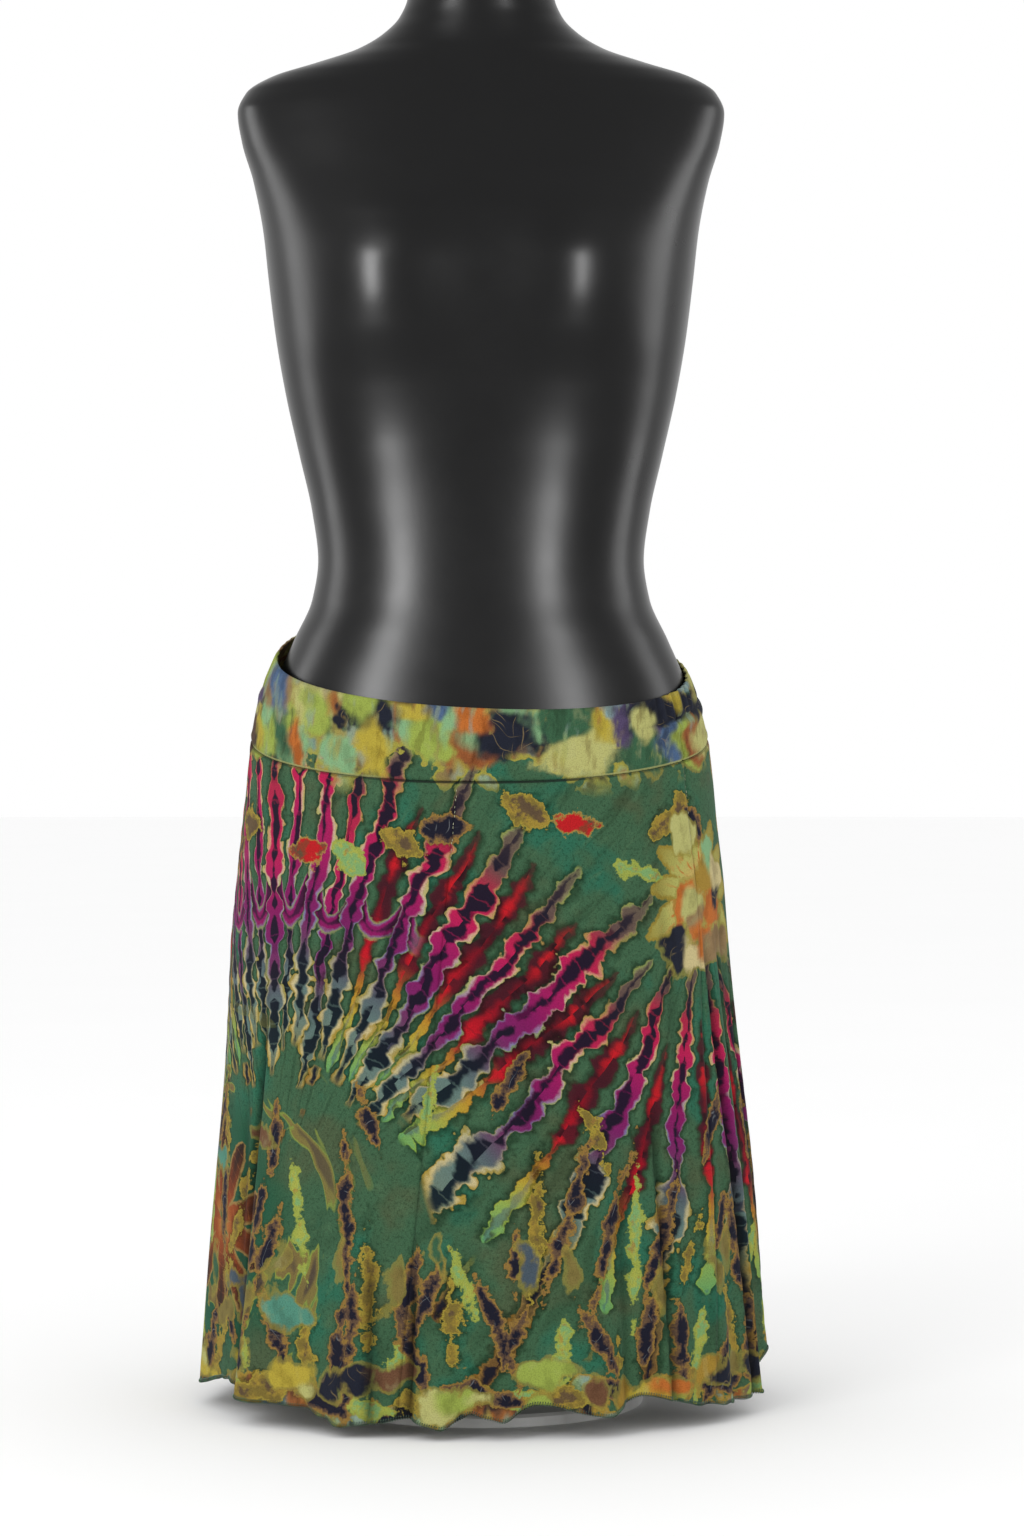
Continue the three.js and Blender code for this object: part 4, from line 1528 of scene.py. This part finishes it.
        washed = book.mix(washed, dye(148, 128, 88), lines * (deep * 0.75 + 0.2 * on_yoke))
        return book.mix(rimmed, washed, book.rise(edge, -0.8 - on_yoke * 2, 2.2 + on_yoke * 2))

    def crease_lines(self, book: ShaderBook, flat: Field) -> Field:
        """Where fine creases kept the dye out: short lines that run three ways, bent by a wide noise.

        Args:
            book: The material's nodes.
            flat: Cloth run and height.

        Returns:
            1 on the lines, 0 off them.
        """
        x, y, _ = book.parts(flat)
        bend = book.parts(book.noise(flat, 34, 1.0, colour=True))
        seen = book.parts(book.noise(flat, 17, 1.0, colour=True))
        lines: Field | float = 0.0
        for way, bent, shown in zip((12, 68, 128), bend, seen):
            across = x * math.cos(math.radians(way)) + y * math.sin(math.radians(way)) + (bent - 0.5) * 60
            near = book.absolute(book.math("FRACT", across / 12) - 0.5)
            lines = book.math("MAXIMUM", lines, book.rise(near, 0.036, 0.012) * book.rise(shown, 0.54, 0.66))
        return lines * 0.7

    def seam_painted_light(self, book: ShaderBook, ground: Field, flat: Field, above: Field) -> Field:
        """Painted light on the yoke seam: a pale painted highlight on its thin ridge just above it, towards
        the sides, and a dark painted shadow just below it, strongest in the middle.

        Args:
            book: The material's nodes.
            ground: The colour below.
            flat: Cloth run and height.
            above: Millimetres above the yoke seam.

        Returns:
            The colour with the seam's painted highlight and shadow over it.
        """
        run = book.absolute(book.parts(flat)[0])
        side = book.rise(run + (book.noise(flat, 30, 1.0) - 0.5) * 90, 50, 84)
        # Painted highlight on the seam's ridge, and painted shadow in the groove under it.
        ridge = book.rise(book.absolute(above - 0.7), 1.1, 0.4)
        under = book.rise(book.absolute(above + 0.8), 1.0, 0.3)
        lit = book.mix(ground, dye(190, 192, 124), ridge * side * 0.75)
        return book.mix(lit, dye(26, 30, 28), under * (1 - side * 0.6) * 0.8)


def wobble(run: np.ndarray, height: np.ndarray, size: float, seed: float) -> np.ndarray:
    """A smooth uneven wave from about -1 to 1: five sine waves summed, whose crests run five ways.

    Args:
        run: Millimetres round the cloth.
        height: Millimetres above the floor.
        size: The longest wave's length.
        seed: A number that changes the waves' ways and starts.

    Returns:
        The wave at each point.
    """
    total = np.zeros_like(run)
    for k in range(5):
        way = seed * 1.7 + k * 1.26 + 0.4 * math.sin(seed * 3 + k * 5)
        pace = 2 * math.pi / size * (0.7 + 0.17 * k)
        total += np.sin(pace * (run * math.cos(way) + height * math.sin(way)) + seed * 2.3 + k * 1.9)
    return total / 2.5


def wash_fields(run: np.ndarray, height: np.ndarray) -> np.ndarray:
    """The washes' colour and how far inside them each point lies: ovals with wavy outlines, each laid
    over those before it with a soft edge.

    Args:
        run: Millimetres round the cloth.
        height: Millimetres above the floor.

    Returns:
        Three colour parts a point, and millimetres inside the washes' outline, no lower than -20.
    """
    x = run + 3.2 * wobble(run, height, 30, 1) + 0.8 * wobble(run, height, 9, 2)
    y = height + 2.6 * wobble(run, height, 26, 3) + 0.8 * wobble(run, height, 8, 4)
    laid = np.zeros((*run.shape, 4))
    deepest = np.full(run.shape, -20.0)
    for row in strewn_washes(np.random.default_rng(WASH_SEED)):
        turn = math.radians(row.turn)
        colour = np.append(dye(*row.dye.value)[:3], 1.0)
        reach = max(row.wide, row.tall) + 14
        near = (np.abs(x - row.run) < reach) & (np.abs(y - row.height) < reach)
        dx, dy = x[near] - row.run, y[near] - row.height
        along = dx * math.cos(turn) + dy * math.sin(turn)
        across = -dx * math.sin(turn) + dy * math.cos(turn)
        inside = (1 - np.hypot(along / row.wide, across / row.tall)) * min(row.wide, row.tall)
        blur = 1.3 if row.height > 440 else 1.0
        edge = smooth_step(inside, -2.6 * blur, 1.6 * blur)
        share = np.maximum(edge, 0.001 * np.exp(np.clip(inside, -20, 0) / 1.5))
        laid[near] = laid[near] * (1 - share[:, None]) + colour * share[:, None]
        deepest[near] = np.maximum(deepest[near], inside)
    return np.concatenate([laid[..., :3] / np.maximum(laid[..., 3:], 1e-7), deepest[..., None]], axis=-1)


def patch_fields(run: np.ndarray, height: np.ndarray) -> np.ndarray:
    """How far inside a dyed patch each point lies, for each kind of patch: a pointed oval's half-width
    at the point's place along it, less the point's distance from its middle line.

    Args:
        run: Millimetres round the cloth.
        height: Millimetres above the floor.

    Returns:
        Four numbers a point, one for each kind, no lower than -20.
    """
    fields = np.full((*run.shape, len(Patch)), -20.0)
    for row in strewn_patches(np.random.default_rng(PATCH_SEED)):
        turn = math.radians(row.turn)
        reach = row.length + 24
        near = (np.abs(run - row.run) < reach) & (np.abs(height - row.height) < reach)
        dx, dy = run[near] - row.run, height[near] - row.height
        along = dx * math.cos(turn) + dy * math.sin(turn)
        across = -dx * math.sin(turn) + dy * math.cos(turn)
        inside = row.width * (1 - (along / row.length) ** 2) - np.abs(across)
        fields[near, row.kind.value] = np.maximum(fields[near, row.kind.value], inside)
    return fields


# ------------------------------------------------------------------ finishes


@dataclass(frozen=True)
class DyedJersey:
    """Fine matt jersey with the tie-dye in it."""

    name: str
    rough: float = 0.82
    knit: float = 0.9
    knit_depth: float = 0.00012

    def make(self) -> bpy.types.Material:
        """The dyed colour with a fine knitted grain in colour and relief, darkened by painted shade in the
        deep creases and gathers.

        Returns:
            The material.
        """
        book = ShaderBook(self.name)
        coloured = TieDye().colour(book)
        place = Field(book, book.attribute("cloth_place").outputs["Vector"])
        grain = book.noise(place, self.knit, 2.0, 0.7)
        coloured = book.tint(coloured, dye(205, 205, 205), book.rise(grain, 0.42, 0.66) * 0.45)
        # Painted shade: the colour is darkened where the cloth lies deep in a crease or gather.
        fold_shade = Field(book, book.attribute("painted_fold_shade").outputs["Fac"])
        coloured = book.tint(coloured, dye(50, 44, 40), fold_shade * 0.9)
        normal = book.bump(grain, self.knit_depth)
        return book.finish(
            Base_Color=coloured,
            Roughness=self.rough,
            Normal=normal,
            Specular_IOR_Level=0.04,
            Sheen_Weight=0.03,
            Sheen_Roughness=0.5,
        )


@dataclass(frozen=True)
class GlossyForm:
    """Black satin lacquer, with faint unevenness in its gloss."""

    rough: float = 0.3
    colour: Colour = dye(8, 8, 9)

    def make(self) -> bpy.types.Material:
        """Near-black with a varying gloss and a very slight orange-peel relief.

        Returns:
            The material.
        """
        book = ShaderBook("black_lacquer")
        place = Field(book, book.node("ShaderNodeTexCoord", {}).outputs["Object"])
        hazy = book.noise(place, 0.09, 4.0, 0.6, solid=True)
        peel = book.noise(place, 0.004, 2.0, 0.5, solid=True)
        rough = book.math("ADD", (hazy - 0.5) * 0.16, self.rough, clamp=True)
        return book.finish(
            Base_Color=self.colour,
            Roughness=rough,
            Normal=book.bump(peel, 0.00002),
            Specular_IOR_Level=0.17,
        )


@dataclass(frozen=True)
class OverlockThread:
    """Spun green polyester thread."""

    name: str
    colour: Colour
    light: Colour

    def make(self) -> bpy.types.Material:
        """Thread with a slight change of shade along it.

        Returns:
            The material.
        """
        book = ShaderBook(self.name)
        place = Field(book, book.node("ShaderNodeTexCoord", {}).outputs["Object"])
        shade = book.noise(place, 0.006, 3.0, 0.6, solid=True)
        twist = book.noise(place, 0.0006, 1.0, 0.5, solid=True)
        coloured = book.mix(self.colour, self.light, book.rise(shade, 0.42, 0.62))
        return book.finish(Base_Color=coloured, Roughness=0.6, Normal=book.bump(twist, 0.0001))


@dataclass(frozen=True)
class PaleLacquer:
    """Stove-enamelled off-white paint on the stand's metal."""

    colour: Colour = dye(236, 236, 234)
    worn: Colour = dye(214, 214, 212)

    def make(self) -> bpy.types.Material:
        """Off-white with faint clouding and a slight orange-peel relief.

        Returns:
            The material.
        """
        book = ShaderBook("pale_lacquer")
        place = Field(book, book.node("ShaderNodeTexCoord", {}).outputs["Object"])
        clouded = book.noise(place, 0.05, 4.0, 0.6, solid=True)
        peel = book.noise(place, 0.002, 2.0, 0.5, solid=True)
        return book.finish(
            Base_Color=book.mix(self.colour, self.worn, book.rise(clouded, 0.45, 0.7)),
            Roughness=0.42,
            Normal=book.bump(peel, 0.00003),
        )


# ------------------------------------------------------------------ the pieces


class GoreRow(NamedTuple):
    """One gore: its name, its seam's angle on the minus side at the yoke and at the hem, and the cut's
    flat width and length in metres."""

    name: str
    seam: float
    hem: float
    flat: tuple[float, float]


GORES = (
    GoreRow("gore_front_right", -84, -96, (0.22, 0.44)),
    GoreRow("gore_front_left", -8, -19.5, (0.23, 0.44)),
    GoreRow("gore_side_left", 68, 57, (0.20, 0.45)),
    GoreRow("gore_back_left", 122, 111, (0.17, 0.45)),
    GoreRow("gore_back_right", 172, 161, (0.17, 0.45)),
    GoreRow("gore_side_right", 222, 211, (0.19, 0.45)),
)


@dataclass
class Skirt:
    """The six gores, the yoke, the overlocked hem and the seam stitches."""

    cloth: DrapedCloth
    jersey_thick: float = 0.8
    yoke_thick: float = 1.3
    spacing: float = 2.5
    seam_sink: float = 0.7
    seam_reach: float = 1.5

    def dress_cloth(
        self, piece: bpy.types.Object, points: np.ndarray, run: np.ndarray, seam: np.ndarray,
        fold_shade: np.ndarray, material: bpy.types.Material, thick: float
    ) -> None:
        """Gives a cloth piece its dye attributes, its painted fold shade, its thickness and its material.

        Args:
            piece: The cloth.
            points: Its grid of points.
            run: Millimetres round the cloth, at each point.
            seam: The yoke seam's height, at each point.
            fold_shade: How much painted shade each point gets for lying deep in a fold, from 0 to 1.
            material: The jersey.
            thick: The cloth's thickness in millimetres, built inwards.
        """
        height = points[..., 2]
        place = np.stack([run, height, height - seam], axis=-1)
        mesh = piece.data
        mesh.attributes.new("cloth_place", "FLOAT_VECTOR", "POINT").data.foreach_set("vector", place.ravel())
        patches = patch_fields(run, height)
        mesh.attributes.new("dye_patches", "FLOAT_COLOR", "POINT").data.foreach_set("color", patches.ravel())
        washes = wash_fields(run, height)
        mesh.attributes.new("dye_washes", "FLOAT_COLOR", "POINT").data.foreach_set("color", washes.ravel())
        mesh.attributes.new("painted_fold_shade", "FLOAT", "POINT").data.foreach_set("value", fold_shade.ravel())
        mesh.materials.append(material)
        wall = piece.modifiers.new("thickness", "SOLIDIFY")
        wall.thickness = thick * MM
        wall.offset = -1
        wall.use_even_offset = True

    def seam_shift(self, away: np.ndarray, along: np.ndarray) -> np.ndarray:
        """How far a seam draws the cloth in: a sharp dip at the stitching, with a low roll beside it
        that puckers along its length."""
        dip = -self.seam_sink * np.exp(-((away / self.seam_reach) ** 2))
        full = 0.28 + 0.18 * np.sin(along / 3.1 + 1.5 * np.sin(along / 11))
        roll = full * np.exp(-(((away - 4) / 2.4) ** 2))
        return dip + roll

    def gore(self, row: GoreRow, nxt: GoreRow, material: bpy.types.Material) -> bpy.types.Object:
        """One flared panel from the yoke seam to the hem.

        Args:
            row: This gore.
            nxt: The next gore round, whose seam ends this one.
            material: The jersey.

        Returns:
            The panel.
        """
        turn = 360 if nxt.seam < row.seam else 0
        hem_width = math.radians(nxt.hem + turn - row.hem) * 180
        columns = int(hem_width / self.spacing)
        rows = int(430 / self.spacing)
        down = np.linspace(1, 0, rows)[:, None]
        across = np.linspace(0, 1, columns)[None, :]
        first = row.seam + (row.hem - row.seam) * down
        last = nxt.seam + turn + (nxt.hem - nxt.seam) * down
        angle = first + (last - first) * across
        down = np.broadcast_to(down, angle.shape)
        top, low = self.cloth.yoke_seam(angle), hem_height(angle)
        height = low + (top - low) * (1 - down)
        radius = self.cloth.radius(angle, height)
        from_first = np.radians(angle - first) * radius
        from_last = np.radians(last - angle) * radius
        from_yoke = (top - low) * down
        shift = (
            self.seam_shift(from_first, height)
            + self.seam_shift(from_last, height + 20)
            + 1.2 * self.seam_shift(from_yoke, angle * 2.6)
        )
        points = self.cloth.skirt(angle, down, shift)
        piece = make_piece(f"jersey_{row.name}", points, grid_faces(rows, columns))
        run = self.cloth.run(angle - (360 if row.seam > 170 else 0), height)
        # Painted shade: the deeper a crease's trough, the darker the cloth's colour there.
        fold_shade = np.clip(-self.cloth.creases(angle, down) / 4.5, 0, 1)
        self.dress_cloth(piece, points, run, top, fold_shade, material, self.jersey_thick)
        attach(piece, "root")
        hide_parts(row.name)
        return piece

    def yoke(self, name: str, first: float, last: float, material: bpy.types.Material) -> bpy.types.Object:
        """Half of the yoke, with its folded waist edge, its seams and the gathers at the wearer's left.

        Args:
            name: The CAD node's name.
            first: The side seam's angle on the minus side.
            last: The other side seam's angle.
            material: The jersey.

        Returns:
            The panel.
        """
        columns, rows = 230, 34
        angle = np.linspace(first, last, columns)[None, :] + np.zeros((rows, 1))
        up = np.linspace(0, 1, rows)[:, None] + np.zeros((1, columns))
        low, top = self.cloth.yoke_seam(angle), self.cloth.waist_edge(angle)
        height = low + (top - low) * up
        radius = self.cloth.radius(angle, height)
        shift = (
            self.seam_shift(np.radians(angle - first) * radius, height)
            + self.seam_shift(np.radians(last - angle) * radius, height + 9)
            + 1.2 * self.seam_shift((top - low) * up, angle * 2.6 + 4)
            - 0.7 * np.exp(-(top - height) / 0.9)
            + self.gathers(angle, height, low, top)
        )
        points = self.cloth.yoke(angle, up, shift)
        piece = make_piece(f"jersey_{name}", points, grid_faces(rows, columns))
        run = self.cloth.run(angle, height)
        # Painted shade: the troughs of the gathers darken the cloth's colour.
        fold_shade = np.clip(-self.gathers(angle, height, low, top) / 2.0, 0, 1)
        self.dress_cloth(piece, points, run, low, fold_shade, material, self.yoke_thick)
        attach(piece, "root")
        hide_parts(name)
        return piece

    def gathers(self, angle: np.ndarray, height: np.ndarray, low: np.ndarray, top: np.ndarray) -> np.ndarray:
        """The elastic's small upright gathers above a level roll, strongest at each side.

        Args:
            angle: Degrees round the skirt.
            height: Millimetres above the floor.
            low: The yoke's lower edge.
            top: Its upper edge.

        Returns:
            The shift outwards, in millimetres.
        """
        turned = wrap_angle(angle)
        left = smooth_step(turned, 50, 66) * (1 - smooth_step(turned, 100, 124))
        right = smooth_step(-turned, 74, 88) * (1 - smooth_step(-turned, 104, 126))
        strength = left + 0.45 * right
        fold = low + 0.6 * (top - low)
        upright = smooth_step(height, 0, 1) * smooth_step(height - fold, 0, 6)
        waves = np.sin(turned * 1.9 + 1.2 * np.sin(turned / 3.1)) * 0.9
        roll = 1.7 * np.exp(-(((height - fold + 5) / 3.4) ** 2))
        roll = roll - 1.1 * np.exp(-(((height - fold) / 1.6) ** 2))
        return strength * (upright * waves + roll)

    def hem_thread(self, material: bpy.types.Material) -> bpy.types.Object:
        """The overlocking: a thread wound round the hem's edge as a tight helix, one turn a stitch.

        Args:
            material: What dresses it.

        Returns:
            The thread.
        """
        pitch, turns_step, out, up, thread = 1.7, 9, 0.85, 1.25, 0.34
        angle = np.linspace(-180, 180, 6001)
        edge = self.cloth.skirt(angle, np.ones_like(angle))
        steps = np.linalg.norm(np.diff(edge, axis=0), axis=1)
        length = np.append(0, np.cumsum(steps))
        turns = int(length[-1] / pitch)
        where = np.linspace(0, length[-1], turns * turns_step, endpoint=False)
        line = np.stack([np.interp(where, length, edge[:, k]) for k in range(3)], axis=-1)
        ahead = np.roll(line, -1, axis=0) - np.roll(line, 1, axis=0)
        ahead /= np.linalg.norm(ahead, axis=1, keepdims=True)
        upright = np.array([0.0, 0.0, 1.0])
        outward = np.cross(ahead, upright)
        outward /= np.linalg.norm(outward, axis=1, keepdims=True)
        phase = 2 * np.pi * np.arange(len(line)) / turns_step
        inset = -0.4 * outward + 0.55 * upright
        helix = line + inset + out * np.cos(phase)[:, None] * outward + up * np.sin(phase)[:, None] * upright
        points, faces = tube_along(helix, thread, 5, closed=True)
        piece = make_piece("hem_overlock", points, faces)
        piece.data.materials.append(material)
        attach(piece, "root")
        return piece

    def seam_stitches(self, material: bpy.types.Material) -> bpy.types.Object:
        """Short pale stitches that show in each gore seam just below the yoke.

        Args:
            material: What dresses it.

        Returns:
            The stitches.
        """
        points, faces, start = [], [], 0
        for row in GORES:
            for number in range(15):
                down = 0.012 + number * 0.0085 + 0.002 * math.sin(number * 2.3)
                ends = np.array([down, down + 0.0036])
                angle = row.seam + (row.hem - row.seam) * ends + 0.12 * math.sin(number * 1.7)
                line = self.cloth.skirt(angle, ends, -0.75)
                share = np.linspace(0, 1, 4)[:, None]
                path = line[0] * (1 - share) + line[1] * share
                ring, ring_faces = tube_along(path, 0.22, 5, closed=False)
                points.append(ring.reshape(-1, 3))
                faces += (ring_faces + start).tolist()
                faces.append([start + k for k in reversed(range(5))])
                faces.append([start + 15 + k for k in range(5)])
                start += 20
        piece = make_piece("seam_stitches", np.concatenate(points), faces)
        piece.data.materials.append(material)
        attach(piece, "root")
        return piece

    def build(self) -> None:
        """Makes every cloth piece and logs how many faces each has.
        """
        skirt_jersey = DyedJersey("skirt_jersey").make()
        yoke_jersey = skirt_jersey.copy()
        yoke_jersey.name = "yoke_jersey"
        thread = OverlockThread("overlock_thread", dye(16, 62, 40), dye(52, 104, 62)).make()
        cotton = OverlockThread("pale_stitch_thread", dye(176, 178, 132), dye(206, 206, 170)).make()
        yokes = [
            self.yoke("yoke_front", -112, 68, yoke_jersey),
            self.yoke("yoke_back", 68, 248, yoke_jersey),
        ]
        gores = [
            self.gore(row, GORES[(i + 1) % len(GORES)], skirt_jersey) for i, row in enumerate(GORES)
        ]
        hem = self.hem_thread(thread)
        stitches = self.seam_stitches(cotton)
        for row, piece in zip(GORES, gores):
            LOG.info("gore %s: %d faces", piece.name, len(piece.data.polygons))
        for piece in yokes:
            LOG.info("yoke %s: %d faces", piece.name, len(piece.data.polygons))
        LOG.info("hem overlock: %d faces", len(hem.data.polygons))
        LOG.info("seam stitches: %d faces", len(stitches.data.polygons))


@dataclass
class DressForm:
    """The smooth limbless form, its plain rounded bust, and the stand's finish."""

    columns: int = 168
    bust_height: float = 770.0
    bust_apart: float = 146.0
    bust_out: float = 13.0
    bust_wide: float = 50.0
    bust_tall: float = 56.0

    def build(self) -> bpy.types.Object:
        """Makes the form as rings of points at many heights, closed flat at both ends.

        Returns:
            The form.
        """
        known = [row.height for row in FORM_SECTIONS]
        heights = np.unique(np.concatenate([
            np.linspace(known[0], 130, 12),
            np.linspace(130, 850, 220),
            np.linspace(850, 985, 90),
            np.linspace(985, known[-1], 14),
        ]))
        side, front, back, power = (
            smooth_curve(heights, known, column)[:, None] for column in list(zip(*FORM_SECTIONS))[1:]
        )
        angle = np.linspace(0, 360, self.columns, endpoint=False)[None, :]
        depth = np.where(np.cos(np.radians(angle)) < 0, back, front)
        radius = oval_radius(angle, side, depth, power)
        points = polar_points(radius, angle, heights[:, None])
        points[..., 1] -= self.bust(points[..., 0], angle, heights[:, None])
        rows = len(heights)
        last = (rows - 1) * self.columns
        faces = grid_faces(rows, self.columns, closed=True).tolist()
        faces.append(list(reversed(range(self.columns))))
        faces.append([last + k for k in range(self.columns)])
        piece = make_piece("torso_form", points, faces)
        piece.data.materials.append(GlossyForm().make())
        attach(piece, "root")
        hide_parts("form_torso")
        LOG.info("dress form: %d faces", len(faces))
        self.dress_stand()
        return piece

    def bust(self, across: np.ndarray, angle: np.ndarray, height: np.ndarray) -> np.ndarray:
        """How far the bust stands forward: two soft bell curves side by side, fading to the sides.

        Args:
            across: Millimetres from the middle.
            angle: Degrees round the skirt.
            height: Millimetres above the floor.

        Returns:
            The shift forwards, in millimetres.
        """
        facing = np.clip(np.cos(np.radians(angle)), 0, 1) ** 0.5
        tall = np.exp(-(((height - self.bust_height) / self.bust_tall) ** 2))
        middle = self.bust_apart / 2
        wide = sum(np.exp(-(((across - side * middle) / self.bust_wide) ** 2)) for side in (-1, 1))
        return self.bust_out * facing * tall * wide

    def dress_stand(self) -> None:
        """Gives the stand's pieces their paint."""
        paint = PaleLacquer().make()
        for name in ("stand_base", "stand_post", "stand_flange"):
            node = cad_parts[name]
            node.data.materials.clear()
            node.data.materials.append(paint)
        LOG.info("stand dressed")


@dataclass
class Studio:
    """A plain pale floor, soft lights and a level camera."""

    focal: float = 85.0
    sensor: float = 36.0
    camera_x: float = 0.0215
    camera_y: float = -2.519
    camera_height: float = 0.438

    def build(self) -> None:
        """Makes the camera, lights, world and floor.
        """
        self.camera()
        self.light("left_strip", (-1.6, -1.9, 0.9), (0.55, 1.8), 120, gloss_only=True)
        self.light("right_strip", (1.3, -2.1, 0.9), (0.45, 1.7), 80, gloss_only=True)
        self.light("left_edge_strip", (-2.3, 0.5, 0.9), (0.7, 1.8), 26, gloss_only=True)
        self.light("right_edge_strip", (2.3, 0.3, 0.9), (0.7, 1.8), 26, gloss_only=True)
        self.light("key_softbox", (-1.5, -2.3, 2.3), (1.2, 1.2), 16)
        self.world(1.0)
        self.floor()
        bpy.context.scene.view_settings.view_transform = "Standard"
        LOG.info("studio ready")

    def camera(self) -> None:
        """A level camera that looks along +Y."""
        data = bpy.data.cameras.new("camera")
        data.lens, data.sensor_width, data.sensor_fit = self.focal, self.sensor, "AUTO"
        data.clip_start, data.clip_end = 0.05, 100
        camera = bpy.data.objects.new("camera", data)
        camera.location = (self.camera_x, self.camera_y, self.camera_height)
        camera.rotation_euler = (math.pi / 2, 0, 0)
        bpy.context.collection.objects.link(camera)
        bpy.context.scene.camera = camera

    def light(
        self, name: str, at: tuple[float, float, float], size: tuple[float, float], power: float,
        gloss_only: bool = False
    ) -> None:
        """A rectangular soft light at a place, aimed at the middle of the form.

        Args:
            name: The light's name.
            at: Its place in metres.
            size: Its width and height in metres.
            power: Its watts.
            gloss_only: Whether it only shows as a shine.
        """
        data = bpy.data.lights.new(name, "AREA")
        data.shape, data.size, data.size_y, data.energy = "RECTANGLE", size[0], size[1], power
        lamp = bpy.data.objects.new(name, data)
        lamp.location = at
        lamp.visible_diffuse = not gloss_only
        aim = Vector((0, 0, 0.5)) - lamp.location
        lamp.rotation_euler = aim.to_track_quat("-Z", "Y").to_euler()
        bpy.context.collection.objects.link(lamp)

    def world(self, strength: float) -> None:
        """Even pale light from all round."""
        world = bpy.data.worlds.new("pale_room")
        world.use_nodes = True
        shade = world.node_tree.nodes["Background"]
        shade.inputs["Color"].default_value = (1.0, 1.0, 1.0, 1.0)
        shade.inputs["Strength"].default_value = strength
        bpy.context.scene.world = world

    def floor(self) -> None:
        """A wide pale floor."""
        turn = np.linspace(0, 2 * np.pi, 96, endpoint=False)
        rim = np.stack([np.cos(turn), np.sin(turn), np.zeros_like(turn)], axis=-1) * 30000
        piece = make_piece("floor", rim, [list(range(len(turn)))])
        book = ShaderBook("pale_floor")
        place = Field(book, book.node("ShaderNodeTexCoord", {}).outputs["Object"])
        faint = book.noise(place, 0.5, 3.0, solid=True)
        piece.data.materials.append(book.finish(
            Base_Color=book.mix((0.97, 0.97, 0.97, 1.0), (0.95, 0.95, 0.95, 1.0), faint), Roughness=0.95
        ))


def main() -> None:
    """Builds the studio, the form and the skirt, in that order."""
    logging.basicConfig(level=logging.INFO, format="%(name)s: %(message)s")
    Studio().build()
    DressForm().build()
    Skirt(DrapedCloth()).build()


if __name__ == "__main__":
    main()
